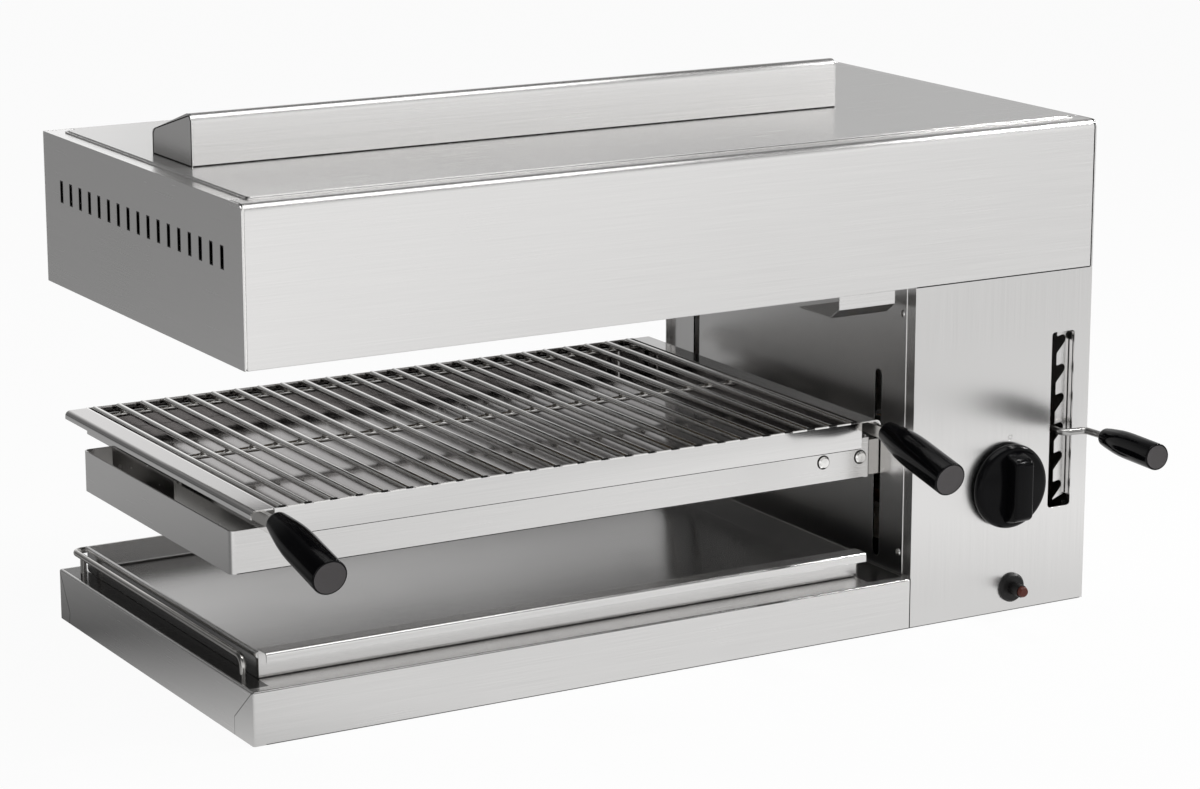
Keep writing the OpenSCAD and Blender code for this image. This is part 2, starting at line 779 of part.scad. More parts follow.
module grid_rods() {
    r = rod_d / 2;
    y0 = pan_y + pan_floor_t + 0.3;
    y1 = pan_y + pan_d - pan_floor_t - 0.3;
    z = grid_z - r;
    color("#8f8d8b") at_corner() for (i = [0 : rod_count - 1])
        rod([rod_x0 + i * rod_pitch, y0, z], [rod_x0 + i * rod_pitch, y1, z], r);
}

// The bars that the grid rods are welded to, standing on short feet in the pan.
module grid_cross_bars() {
    r = rod_d / 2;
    z = grid_z - 3 * r - 0.02;
    x0 = wall_x + pan_floor_t + 0.5;
    x1 = pan_x + pan_w - flange_w - 0.5;
    color("#8f8d8b") at_corner() {
        for (y = cross_y) rod([x0, y, z], [x1, y, z], r);
        for (y = [cross_y[0], cross_y[2]], x = [x0 + 20, x1 - 20])
            rod([x, y, pan_z + pan_floor_t], [x, y, z], r - 0.1);
    }
}

// Flat bars welded under the flanges, which carry the grips.
module pan_stems() {
    top = grid_z - 1 - pan_floor_t;
    color("#9b9a98") at_corner() for (x = [stem_x, 2 * pan_x + pan_w - stem_x])
        translate([x - 2, grip_y - 24, top - 10]) cube([4, 84, 10]);
}

module pan_grips() {
    color(bakelite) at_corner() for (x = [stem_x, 2 * pan_x + pan_w - stem_x]) difference() {
        translate([x, grip_y, grip_z]) rotate([90 + grip_tilt, 0, 0]) grip(grip_len, 18, grip_d);
        translate([x - 2, grip_y - 24, grid_z - 12.2]) cube([4, 84, 10]);
    }
}

// ---- drip tray ----

// The tray's section in Y and Z: front wall, floor and back wall.
module tray_section(in) {
    t = sheet;
    z0 = base_h + gap;
    round_rect(tray_y + in, z0 + in, tray_back - in, 2 * tray_top, 3.2 - in);
}

// The ledge along the tray's front, folded forward and down, by which the tray is drawn out.
module tray_ledge_section(in) {
    y0 = tray_y - tray_ledge;
    round_rect(y0 + in, base_h, tray_y + tray_ledge, tray_ledge_z - in, 3 - in);
}

module drip_tray() {
    t = sheet;
    x1 = tray_x + tray_w;
    y0 = tray_y - tray_ledge;
    z1 = tray_ledge_z - tray_lip;
    hem = [t + tray_hem, 5];
    color(steel) at_corner() {
        along_x(tray_x, tray_w) {
            intersection() {
                difference() {
                    tray_section(0);
                    tray_section(t);
                }
                square([tray_back + 1, tray_top]);
            }
            translate([tray_y, tray_top - 5]) square([t, tray_ledge_z - t / 2 - tray_top + 5]);
            difference() {
                intersection() {
                    tray_ledge_section(0);
                    translate([y0, z1]) square([tray_ledge + t, tray_lip]);
                }
                tray_ledge_section(t);
            }
        }
        for (x = [tray_x, x1 - t]) along_x(x, t) intersection() {
            tray_section(0);
            square([tray_back + 1, tray_top]);
        }
        // the hemmed rims of the other three walls
        for (x = [tray_x - tray_hem, x1 - t]) upright(tray_y + t, tray_back + tray_hem - tray_y - t)
            round_rect(x, tray_top - hem.y, x + hem.x, tray_top, hem.x / 2 - 0.01);
        along_x(tray_x, tray_w) round_rect(tray_back - t, tray_top - hem.y, tray_back + tray_hem, tray_top,
            hem.x / 2 - 0.01);
    }
}

// ---- tap, knob and igniter ----

module tap_plug() {
    color("#a8883f") at_corner() translate([knob_x, 22.1, knob_z]) rotate([-90, 0, 0]) difference() {
        cylinder(h = 17.8, r = 9, $fn = 48);
        translate([0, 0, -1]) cylinder(h = 15, r = spindle_r + joint_gap, $fn = 48);
    }
}

module tap_spindle() {
    color("#b0afad") at_corner() translate([knob_x, -16, knob_z]) rotate([-90, 0, 0])
        cylinder(h = 46, r = spindle_r, $fn = 48);
}

// The knob: a round skirt, low at its rim and domed towards the middle, with a bar across it.
module knob() {
    r = knob_d / 2;
    rim = 2.2;
    dome = 6;
    color(bakelite) at_corner() translate([knob_x, -3.8, knob_z]) rotate([90, 0, 0]) difference() {
        union() {
            rotate_extrude($fn = 96) polygon(concat([[0, 0], [r, 0]], arc([r - rim, 2.8], rim, 0, 75, 4),
                [for (k = [7 : -1 : 0]) [(r - rim) * k / 8, 5 + dome * (1 - k * k / 64)]]));
            rotate([0, 90, 0]) translate([0, 0, -7.5]) linear_extrude(15)
                polygon([[-5, r - 8], [-23, r - 13.5], [-24, r - 15],
                    [-24, 15 - r], [-23, 13.5 - r], [-5, 8 - r]]);
        }
        translate([0, 0, -1]) cylinder(h = 13.2, r = spindle_r, $fn = 48);
    }
}

module igniter_button() {
    color(bakelite) at_corner() translate([igniter_x, 12, igniter_z]) rotate([90, 0, 0])
        cylinder(h = 28, r = 5.5, $fn = 48);
}

module igniter_cap() {
    color("#7a3b2b") at_corner() translate([igniter_x, -16, igniter_z]) rotate([90, 0, 0])
        rotate_extrude($fn = 48) polygon([[0, 0], [4.6, 0], [4.6, 2.8], [3.8, 4], [0, 4]]);
}

floor_pan();
base_cover();
tray_rail();
column_front_panel();
column_side_plate();
column_side_cover();
column_back_cover();
notch_rack();
hood_front_panel();
hood_left_end();
hood_right_end();
hood_back_panel();
hood_underplate();
hood_lid();
flue_cover();
flue_end_caps();
burner_shroud();
burner_body();
burner_tiles();
burner_mesh();
venturi_tube();
gas_injector();
burner_feed_pipe();
gas_inlet_pipe();
inlet_fitting();
tap_body();
thermocouple();
ignition_electrode();
pilot_guard();
igniter_body();
igniter_bezel();
guide_rods();
guide_brackets();
lift_springs();
panel_screws();
carriage_frame();
pan_runners();
carriage_arms();
carriage_bolts();
lift_yoke();
lift_bushes();
lever_bracket();
lever_pin();
lever_rod();
lever_grip();
grid_pan();
grid_rods();
grid_cross_bars();
pan_stems();
pan_grips();
drip_tray();
tap_plug();
tap_spindle();
knob();
igniter_button();
igniter_cap();
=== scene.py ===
# A gas salamander grill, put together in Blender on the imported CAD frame: a burner hood carried on one column, a
# grid pan in a carriage that rises and falls beside it, and a drip tray in the base.

import math

import bmesh
import bpy
from mathutils import Matrix, Vector


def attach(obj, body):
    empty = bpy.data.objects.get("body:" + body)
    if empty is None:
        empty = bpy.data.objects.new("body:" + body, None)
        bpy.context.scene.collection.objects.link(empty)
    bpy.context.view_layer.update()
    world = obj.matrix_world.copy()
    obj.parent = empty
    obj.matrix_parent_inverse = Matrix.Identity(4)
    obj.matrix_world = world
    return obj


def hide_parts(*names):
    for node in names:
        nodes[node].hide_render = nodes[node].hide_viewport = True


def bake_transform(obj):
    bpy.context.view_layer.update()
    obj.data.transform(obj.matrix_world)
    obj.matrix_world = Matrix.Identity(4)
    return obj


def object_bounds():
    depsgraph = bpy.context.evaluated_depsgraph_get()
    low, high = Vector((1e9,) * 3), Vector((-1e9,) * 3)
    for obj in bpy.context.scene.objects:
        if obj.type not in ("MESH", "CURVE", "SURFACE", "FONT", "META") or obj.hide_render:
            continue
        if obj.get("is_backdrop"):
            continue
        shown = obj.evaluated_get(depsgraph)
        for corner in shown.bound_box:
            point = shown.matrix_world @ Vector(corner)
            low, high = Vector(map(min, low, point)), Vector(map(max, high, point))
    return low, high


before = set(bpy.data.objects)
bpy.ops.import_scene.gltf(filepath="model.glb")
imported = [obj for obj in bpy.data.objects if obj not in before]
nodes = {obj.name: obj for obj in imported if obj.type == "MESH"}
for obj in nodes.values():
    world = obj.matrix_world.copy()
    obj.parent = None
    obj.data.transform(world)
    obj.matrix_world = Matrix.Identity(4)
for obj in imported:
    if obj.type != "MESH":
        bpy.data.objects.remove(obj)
cad_box = [list(corner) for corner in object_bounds()]
mm = 0.001

# ---- camera ----
# A long lens at the height of a standing cook, a little to the left of the grill and looking down on the lid.

camera_data = bpy.data.cameras.new("camera")
camera_data.lens = 107.628
camera_data.sensor_width = 36
camera_data.clip_end = 100
camera = bpy.data.objects.new("camera", camera_data)
camera.location = Vector((-1492.13, -2603.32, 910.84)) * mm
camera.rotation_euler = (math.radians(90 - 13.4932), 0, math.radians(-30.2195))
bpy.context.scene.collection.objects.link(camera)
bpy.context.scene.camera = camera
bpy.context.scene.view_settings.view_transform = "Standard"

# ---- studio ----
# White paper on the floor and behind the grill, one large soft box overhead, and a dim room at the camera's left,
# which the bare steel shows in its left faces. The floor keeps the grill's shadow.


def linear(code):
    """An sRGB hex colour as the linear values that Blender's sockets take."""
    parts = [int(code[i : i + 2], 16) / 255 for i in (1, 3, 5)]
    return [c / 12.92 if c <= 0.04045 else ((c + 0.055) / 1.055) ** 2.4 for c in parts] + [1.0]


def add(tree, kind, inputs=None, **settings):
    """Adds a node with its settings. An input is given by its name or number, as a value, as another node's output,
    as a node, which stands for its first output, or as a list of these where it takes several."""
    made = tree.nodes.new(kind)
    for name, value in settings.items():
        setattr(made, name, value)
    for name, value in (inputs or {}).items():
        several = value if isinstance(value, list) else [value]
        sources = [one.outputs[0] if isinstance(one, bpy.types.Node) else one for one in several]
        if isinstance(sources[0], bpy.types.NodeSocket):
            for source in sources:
                tree.links.new(source, made.inputs[name])
        else:
            made.inputs[name].default_value = value
    return made


def new_material(name):
    """An empty material, its node tree, and in it the object's own coordinates."""
    material = bpy.data.materials.new(name)
    material.use_nodes = True
    tree = material.node_tree
    tree.nodes.clear()
    return material, tree, add(tree, "ShaderNodeTexCoord").outputs["Object"]


def tone_along(tree, vector, axis, stops):
    """A tone that changes along an axis: stops are pairs of a distance along it and a brightness."""
    along = add(tree, "ShaderNodeVectorMath", {0: vector, 1: axis}, operation="DOT_PRODUCT")
    low, high = stops[0][0], stops[-1][0]
    place = add(tree, "ShaderNodeMapRange", {"Value": along.outputs["Value"], "From Min": low, "From Max": high})
    tones = add(tree, "ShaderNodeValToRGB", {"Fac": place})
    for _ in stops[2:]:
        tones.color_ramp.elements.new(0.5)
    for i, (where, tone) in enumerate(stops):
        tones.color_ramp.elements[i].position = (where - low) / (high - low)
        tones.color_ramp.elements[i].color = (tone, tone, tone, 1)
    return tones.outputs["Color"]


def shown_paper(tree, tone):
    """How bright the white paper is to each ray that shows it: plain white to the camera and through glass, and
    shaded with the room in a gloss. The second value is 1 for these rays, and the third is the node that tells."""
    path = add(tree, "ShaderNodeLightPath")
    straight = add(tree, "ShaderNodeMath", {0: path.outputs["Is Camera Ray"], 1: path.outputs["Is Transmission Ray"]},
        operation="MAXIMUM")
    seen = add(tree, "ShaderNodeMath", {0: straight, 1: path.outputs["Is Glossy Ray"]}, operation="MAXIMUM")
    paper = add(tree, "ShaderNodeMix", {"Factor": path.outputs["Is Glossy Ray"], 6: linear("#ffffff"), 7: tone},
        data_type="RGBA")
    return paper.outputs[2], seen, path


# The floor lies just under the grill, so that the two faces don't flicker into each other. Its light falls off in
# soft steps towards the front and towards the side, in metres from the grill's middle.
floor_size = 16
floor_drop = 0.5 * mm

floor_paint, tree, on_floor = new_material("studio_floor_paint")
towards_front, towards_side = (-0.5, -0.87, 0), (0.51, -0.86, 0)
near_stops = [(-0.5, 0.78), (0.4, 0.76), (0.62, 0.6), (0.78, 0.68), (0.92, 1.0), (3.0, 1.0)]
side_stops = [(-2.2, 0.36), (-1.7, 0.35), (-0.8, 0.47), (-0.34, 0.14), (0.08, 1.0), (0.4, 1.0), (0.72, 1.25)]
side_stops += [(1.05, 1.0), (1.88, 1.0), (2.05, 0.84), (2.3, 0.95)]
near_light = tone_along(tree, on_floor, towards_front, near_stops)
dim_side = tone_along(tree, on_floor, towards_side, side_stops)
tone = add(tree, "ShaderNodeMix", {"Factor": 1.0, 6: near_light, 7: dim_side}, data_type="RGBA",
    blend_type="MULTIPLY")
paper, seen, path = shown_paper(tree, tone.outputs[2])
lit = add(tree, "ShaderNodeBsdfDiffuse", {"Color": linear("#f4f4f3")})
glow = add(tree, "ShaderNodeEmission", {"Color": paper, "Strength": 1.0})
seen_share, gloss_share = 0.95, 0.97
share = add(tree, "ShaderNodeMapRange", {"Value": path.outputs["Is Glossy Ray"], "To Min": seen_share,
    "To Max": gloss_share})
shown = add(tree, "ShaderNodeMath", {0: seen, 1: share}, operation="MULTIPLY")
mix = add(tree, "ShaderNodeMixShader", {0: shown, 1: lit, 2: glow})
add(tree, "ShaderNodeOutputMaterial", {"Surface": mix})

floor_mesh = bpy.data.meshes.new("studio_floor")
half = floor_size / 2
floor_mesh.from_pydata([(-half, -half, 0), (half, -half, 0), (half, half, 0), (-half, half, 0)], [], [(0, 1, 2, 3)])
floor_mesh.materials.append(floor_paint)
floor = bpy.data.objects.new("studio_floor", floor_mesh)
floor.location.z = -floor_drop
bpy.context.scene.collection.objects.link(floor)
floor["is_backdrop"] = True

# The room is dark far to the left, pale beside the camera and grey to the right, and dims towards the ceiling.
world = bpy.data.worlds.new("studio")
world.use_nodes = True
tree = world.node_tree
tree.nodes.clear()
direction = add(tree, "ShaderNodeTexCoord").outputs["Generated"]
across_stops = [(-1.0, 0.05), (-0.85, 0.08), (-0.6, 0.34), (-0.3, 1.0), (-0.14, 1.05), (0.0, 0.58)]
across_stops += [(0.13, 0.55), (0.3, 0.56), (0.6, 0.86), (1.0, 0.92)]
upward_stops = [(-1.0, 0.9), (0.05, 1.02), (0.3, 1.0), (0.45, 0.7), (0.62, 0.26), (0.85, 0.13), (1.0, 0.12)]
across = tone_along(tree, direction, (0.864, -0.503, 0), across_stops)
upward = tone_along(tree, direction, (0, 0, 1), upward_stops)
tone = add(tree, "ShaderNodeMix", {"Factor": 1.0, 6: across, 7: upward}, data_type="RGBA", blend_type="MULTIPLY")
paper, seen, _ = shown_paper(tree, tone.outputs[2])
room = add(tree, "ShaderNodeBackground", {"Color": tone.outputs[2], "Strength": 1.0})
white = add(tree, "ShaderNodeBackground", {"Color": paper, "Strength": 1.0})
mix = add(tree, "ShaderNodeMixShader", {0: seen, 1: room, 2: white})
add(tree, "ShaderNodeOutputWorld", {"Surface": mix})
bpy.context.scene.world = world


def soft_box(name, place, aim, width, height, watts):
    """Adds a lamp with a rectangular face, in metres, that looks from its place at its aim."""
    data = bpy.data.lights.new(name, "AREA")
    data.shape = "RECTANGLE"
    data.size = width
    data.size_y = height
    data.energy = watts
    lamp = bpy.data.objects.new(name, data)
    lamp.location = place
    lamp.rotation_euler = (Vector(aim) - Vector(place)).to_track_quat("-Z", "Y").to_euler()
    bpy.context.scene.collection.objects.link(lamp)


soft_box("top_box", (0.2, -0.6, 2.2), (0.2, -0.6, 0), width=1.7, height=1.1, watts=16)
soft_box("rim_box", (2.0, -0.2, 1.2), (0, -0.2, 0.2), width=0.14, height=0.2, watts=12)
soft_box("front_strip", (-0.1, -1.0, 2.0), (0, -0.2, 0.2), width=0.9, height=0.07, watts=1.5)
soft_box("glint_box", (1.5, -0.7, 1.9), (0, -0.2, 0.1), width=0.12, height=0.12, watts=8)

# ---- base ----
# A low box of 1.2 mm stainless sheet, its edges folded over and its corners welded and ground, on a shallow floor
# pan with cooling slots under the column. It stands flat on the worktop.


def sideways(tree):
    """How far each face looks to the left or the right, from 0 to 1."""
    face = add(tree, "ShaderNodeSeparateXYZ", {0: add(tree, "ShaderNodeNewGeometry").outputs["True Normal"]})
    return add(tree, "ShaderNodeMath", {0: face.outputs["X"]}, operation="ABSOLUTE")


def brushed_stainless(name, grain, ends=None, colour="#eeedec", roughness=0.25, spread=0.75, line_mm=0.8, run_mm=110,
        wear=0.02, edge_mm=0.5):
    """304 stainless with a belt-brushed satin finish: reflections stay crisp along the brush lines and spread across
    them. The real lines are 0.1 to 0.3 mm apart, drawn here as coarse as they need to show. grain is the axis that
    they run along, and ends the one on faces that look to the left or right. Handling wears it in patches about
    110 mm across."""
    material, tree, coords = new_material(name)
    runs, turns = [], []
    for way in (grain, ends or grain):
        scale = [1 / (run_mm * mm) if axis == way else 1 / (line_mm * mm) for axis in "XYZ"]
        runs.append(add(tree, "ShaderNodeMapping", {"Vector": coords, "Scale": scale}))
        turns.append(add(tree, "ShaderNodeTangent", direction_type="RADIAL", axis=way))
    lines, around = runs[0], turns[0]
    if ends:
        on_end = add(tree, "ShaderNodeMath", {0: sideways(tree), 1: 0.7}, operation="GREATER_THAN")
        lines = add(tree, "ShaderNodeMix", {"Factor": on_end, 4: runs[0], 5: runs[1]}, data_type="VECTOR").outputs[1]
        around = add(tree, "ShaderNodeMix", {"Factor": on_end, 4: turns[0], 5: turns[1]},
            data_type="VECTOR").outputs[1]
    streaks = add(tree, "ShaderNodeTexNoise", {"Vector": lines, "Scale": 1.0, "Detail": 2.0, "Roughness": 0.6})
    handling = add(tree, "ShaderNodeTexNoise", {"Vector": coords, "Scale": 9.0, "Detail": 3.0})
    rough = add(tree, "ShaderNodeMapRange", {"Value": streaks, "From Min": 0.25, "From Max": 0.75,
        "To Min": roughness - wear, "To Max": roughness + wear * 1.3})
    worn = add(tree, "ShaderNodeMapRange", {"Value": handling, "To Min": -wear, "To Max": wear})
    total = add(tree, "ShaderNodeMath", {0: rough, 1: worn}, operation="ADD")
    fade = add(tree, "ShaderNodeMapRange", {"Value": streaks, "From Min": 0.25, "From Max": 0.75, "To Min": 0.92,
        "To Max": 1.0})
    tint = add(tree, "ShaderNodeMix", {"Factor": fade, 6: linear("#5e5d5c"), 7: linear(colour)}, data_type="RGBA")
    eased = add(tree, "ShaderNodeBevel", {"Radius": edge_mm * mm}, samples=4)
    bump = add(tree, "ShaderNodeBump", {"Strength": 0.02, "Distance": 0.00003, "Height": streaks, "Normal": eased})
    steel = add(tree, "ShaderNodeBsdfPrincipled", {"Base Color": tint.outputs[2], "Metallic": 1.0, "Roughness": total,
        "Anisotropic": spread, "Tangent": around, "Normal": bump})
    add(tree, "ShaderNodeOutputMaterial", {"Surface": steel})
    return material


def darken(material, mask, colour):
    """Mixes a colour into a steel's own where the mask is 1."""
    tree = material.node_tree
    base = next(node for node in tree.nodes if node.type == "BSDF_PRINCIPLED").inputs["Base Color"]
    mixed = add(tree, "ShaderNodeMix", {"Factor": mask, 6: base.links[0].from_socket, 7: linear(colour)},
        data_type="RGBA")
    tree.links.new(mixed.outputs[2], base)


def finish(material, *names):
    """Gives CAD nodes a finish."""
    for name in names:
        mesh = nodes[name].data
        mesh.materials.clear()
        mesh.materials.append(material)


def at(x, y, z):
    """A place in millimetres from the casing's front left bottom corner."""
    return Vector((x - 400, y - 197.5, z)) * mm


def inside(tree, low, high):
    """1 within a box between two corners, in millimetres, and 0 outside it."""
    middle, reach = (at(*low) + at(*high)) / 2, (at(*high) - at(*low)) / 2
    coords = add(tree, "ShaderNodeTexCoord").outputs["Object"]
    off = add(tree, "ShaderNodeVectorMath", {0: coords, 1: middle}, operation="SUBTRACT")
    far = add(tree, "ShaderNodeVectorMath", {0: off}, operation="ABSOLUTE")
    over = add(tree, "ShaderNodeVectorMath", {0: far, 1: reach}, operation="SUBTRACT")
    spot = add(tree, "ShaderNodeSeparateXYZ", {0: over})
    wide = add(tree, "ShaderNodeMath", {0: spot.outputs["X"], 1: spot.outputs["Y"]}, operation="MAXIMUM")
    most = add(tree, "ShaderNodeMath", {0: wide, 1: spot.outputs["Z"]}, operation="MAXIMUM")
    return add(tree, "ShaderNodeMath", {0: most, 1: 0.0}, operation="LESS_THAN")


def lap_line(tree, start, end, width_mm):
    """1 along a line on the base's left side. Its ends are a place along the side and a height, in millimetres."""
    start, end = at(0, *start), at(0, *end)
    along, depth = (end - start).normalized(), 0.3 * mm
    coords = add(tree, "ShaderNodeTexCoord").outputs["Object"]
    off = add(tree, "ShaderNodeVectorMath", {0: coords, 1: (start + end) / 2}, operation="SUBTRACT")
    mask = None
    across = (0, along.z, -along.y)
    for way, reach in ((along, (end - start).length / 2), (across, width_mm * mm / 2), ((1, 0, 0), depth)):
        part = add(tree, "ShaderNodeVectorMath", {0: off, 1: way}, operation="DOT_PRODUCT")
        near = add(tree, "ShaderNodeMath", {0: part.outputs["Value"], 1: 0.0, 2: reach}, operation="COMPARE")
        mask = add(tree, "ShaderNodeMath", {0: mask, 1: near}, operation="MULTIPLY") if mask else near
    return mask


steel_along_x = brushed_stainless("brushed_stainless_along_x", "X", edge_mm=1.1)
base_steel = brushed_stainless("brushed_stainless_base", "X", "Y")

# The side's ends are folded round the corners and lapped. The laps show as two bent lines, the rear one open.
lap_width = 0.9
laps = [((2, 43), (35, 15), "#8f8e8d"), ((35, 15), (35, 0), "#adacab")]
laps += [((393, 42), (373, 10), "#4c4b4a"), ((373, 10), (375, 0), "#5c5b5a")]
for start, end, tone in laps:
    darken(base_steel, lap_line(base_steel.node_tree, start, end, lap_width), tone)

# The deck is painted darker on both sides of the tray, a painted reflection of the tray's dark sides, and less in
# front of it, a painted shadow under the tray's ledge. Along the fold at its front edge, painted shade dims the
# fold's highlight.
deck_under, deck_over = 43.2, 44.5
painted_deck_shade = [((2.5, 10, deck_under), (18.4, 392, deck_over), "#636261")]
painted_deck_shade += [((578.6, 10, deck_under), (613, 392, deck_over), "#636261")]
painted_deck_shade += [((18.4, 1.9, deck_under), (578.6, 30, deck_over), "#eae9e8")]
painted_deck_shade += [((1, -0.1, 42.6), (613, 1.9, 44.1), "#a2a1a0")]
for low, high, tone in painted_deck_shade:
    darken(base_steel, inside(base_steel.node_tree, low, high), tone)
finish(base_steel, "base_cover")
finish(steel_along_x, "floor_pan")

# ---- column ----
# The control panel is brushed upright and folded back at both sides. The plate beside the grid is brushed along its
# depth and slotted for the carriage's arms. The toothed rack is folded behind the lever's opening.

steel_along_z = brushed_stainless("brushed_stainless_along_z", "Z", line_mm=0.5, wear=0.01)
steel_along_y = brushed_stainless("brushed_stainless_along_y", "Y", line_mm=0.5, wear=0.01)
finish(steel_along_z, "column_front_panel", "notch_rack", "column_back_cover")
finish(steel_along_y, "column_side_cover")


def cut_walls(tree, low, high):
    """1 on the walls that are cut through a plate facing left or right, within a box. They are painted dark as shade
    inside the cuts.
    """
    wall = add(tree, "ShaderNodeMath", {0: sideways(tree), 1: 0.5}, operation="LESS_THAN")
    return add(tree, "ShaderNodeMath", {0: wall, 1: inside(tree, low, high)}, operation="MULTIPLY")


# Painted shade: the walls of the cuts are drawn dark.
cut_wall_shade = "#1d1b1a"
slotted_steel = brushed_stainless("brushed_stainless_slotted", "Y", line_mm=0.5, wear=0.01)
darken(slotted_steel, cut_walls(slotted_steel.node_tree, (614, 30, 46), (618, 370, 290)), cut_wall_shade)
finish(slotted_steel, "column_side_plate")

# ---- hood ----
# Front, back and two ends folded from sheet under a flat lid with a raised field. The exhaust cover is folded in one
# piece with a plate let into each end.

finish(steel_along_x, "hood_front_panel", "hood_back_panel", "hood_lid", "flue_cover", "pilot_guard")
finish(steel_along_y, "hood_right_end", "flue_end_caps", "hood_underplate", "burner_shroud")

# The left end's vent slots are laser cut too. Their walls are painted dark as shade, and a dark band painted round
# each widens the slot's shaded opening.
slot_pitch, first_slot, slot_level = 20.05, 36.8, 379.05
rim_half_width, rim_half_height, slot_rim_shade = 3.2, 9.4, "#2a2928"
vented_steel = brushed_stainless("brushed_stainless_vented", "Y")
tree = vented_steel.node_tree
darken(vented_steel, cut_walls(tree, (-1, 20, 320), (1.19, 378, 410)), cut_wall_shade)
spot = add(tree, "ShaderNodeSeparateXYZ", {0: add(tree, "ShaderNodeTexCoord").outputs["Object"]})
first = add(tree, "ShaderNodeMath", {0: spot.outputs["Y"], 1: at(0, first_slot - slot_pitch / 2, 0).y},
    operation="SUBTRACT")
half_pitch = slot_pitch / 2 * mm
fold = add(tree, "ShaderNodeMath", {0: first, 1: half_pitch}, operation="PINGPONG")
beside = add(tree, "ShaderNodeMath", {0: fold, 1: half_pitch, 2: rim_half_width * mm}, operation="COMPARE")
level = add(tree, "ShaderNodeMath", {0: spot.outputs["Z"], 1: slot_level * mm, 2: rim_half_height * mm},
    operation="COMPARE")
rim = add(tree, "ShaderNodeMath", {0: beside, 1: level}, operation="MULTIPLY")
slot_rim_shade_mask = add(tree, "ShaderNodeMath", {0: rim, 1: inside(tree, (-1, 30, 360), (0.3, 366, 398))}, operation="MULTIPLY")
darken(vented_steel, slot_rim_shade_mask, slot_rim_shade)
finish(vented_steel, "hood_left_end")

# The sheets meet in open joints about half a millimetre wide, which are dark inside: round each end plate of the
# exhaust cover, under its front, between hood and column, and beside the base. They are drawn a little wide to show.
# Two dark lines are drawn beside the rack. A dark line along the casing's foot is a painted contact shadow, and a
# dark strip over the cooling slots in the column's floor is painted shade for the shadowed floor seen through them.


def turned_steel(name, colour, roughness):
    """Bright turned or cold-headed steel: smooth, with handling marks about 1.4 mm across."""
    material, tree, coords = new_material(name)
    marks = add(tree, "ShaderNodeTexNoise", {"Vector": coords, "Scale": 700.0, "Detail": 3.0})
    rough = add(tree, "ShaderNodeMapRange", {"Value": marks, "To Min": roughness - 0.06, "To Max": roughness + 0.1})
    bump = add(tree, "ShaderNodeBump", {"Strength": 0.15, "Distance": 0.00005, "Height": marks})
    steel = add(tree, "ShaderNodeBsdfPrincipled", {"Base Color": linear(colour), "Metallic": 1.0, "Roughness": rough,
        "Normal": bump})
    add(tree, "ShaderNodeOutputMaterial", {"Surface": steel})
    return material


# The dark of the joints and of the painted shade is uneven, in specks of about 3 mm.
joint_and_shade_dark, tree, coords = new_material("dark_joint_and_painted_shade")
soot = add(tree, "ShaderNodeTexNoise", {"Vector": coords, "Scale": 300.0, "Detail": 2.0})
tint = add(tree, "ShaderNodeMix", {"Factor": soot, 6: linear("#121211"), 7: linear("#2b2a29")}, data_type="RGBA")
shader = add(tree, "ShaderNodeBsdfPrincipled", {"Base Color": tint.outputs[2], "Roughness": 0.8,
    "Specular IOR Level": 0.2})
add(tree, "ShaderNodeOutputMaterial", {"Surface": shader})


def add_strip(form, low, high):
    """Adds a straight strip of sheet between two corners, in millimetres from the casing's corner."""
    low, high = at(*low), at(*high)
    bmesh.ops.create_cube(form, size=1.0, matrix=Matrix.LocRotScale((low + high) / 2, None, high - low))


def add_line(form, start, end, width, side):
    """Adds a thin strip along a line on a flat face; side is the way that the face looks."""
    start, end, side, proud = at(*start), at(*end), Vector(side), 0.12 * mm
    along = (end - start).normalized()
    across = along.cross(side) * width * mm / 2
    rim = [start - across, start + across, end + across, end - across]
    out = side * proud
    corners = [form.verts.new(p - out) for p in rim] + [form.verts.new(p + out) for p in rim]
    for order in ((0, 1, 2, 3), (4, 5, 6, 7), (0, 1, 5, 4), (1, 2, 6, 5), (2, 3, 7, 6), (3, 0, 4, 7)):
        form.faces.new([corners[k] for k in order])


def piece_of(name, form, materials, sharp=None):
    """Makes a piece of a finished form. With an angle it is smooth, up to edges that are sharper than that."""
    mesh = bpy.data.meshes.new(name)
    form.to_mesh(mesh)
    form.free()
    for material in materials:
        mesh.materials.append(material)
    if sharp:
        mesh.shade_smooth()
        mesh.set_sharp_from_angle(angle=math.radians(sharp))
    piece = bpy.data.objects.new(name, mesh)
    bpy.context.scene.collection.objects.link(piece)
    return piece


# A bright steel for the strips and beads that are painted highlights.
highlight_edge_steel = turned_steel("painted_highlight_edge", "#f8f7f5", 0.12)
cap_front, cap_back, lid_top, joint_level = 158.4, 233.8, 428, 427.4
bend_y, bend_z, bend_radius = 164, 462, 5.6
bend_turns = [math.pi * (1 - k / 10) for k in range(5)]
front_bend = [(bend_y + bend_radius * math.cos(a), bend_z + bend_radius * math.sin(a)) for a in bend_turns]
cap_edge = [(cap_front, lid_top)] + front_bend + [(229.6, 448), (233, 444), (cap_back, lid_top)]
to_left, to_right, to_front = (-1, 0, 0), (1, 0, 0), (0, -1, 0)
form = bmesh.new()
for x, side in ((30.5, to_left), (636.5, to_right)):
    for (y0, z0), (y1, z1) in zip(cap_edge, cap_edge[1:]):
        add_line(form, (x, y0, z0), (x, y1, z1), 0.9, side)
    add_line(form, (x, cap_front, joint_level), (x, cap_back, joint_level), 1.0, side)
add_line(form, (31, 157, 427.6), (636, 157, 427.6), 1.1, to_front)
add_line(form, (616, 0, 297.3), (797.5, 0, 297.3), 0.9, to_front)
add_line(form, (615.4, 0, 0.5), (615.4, 0, 44), 0.8, to_front)
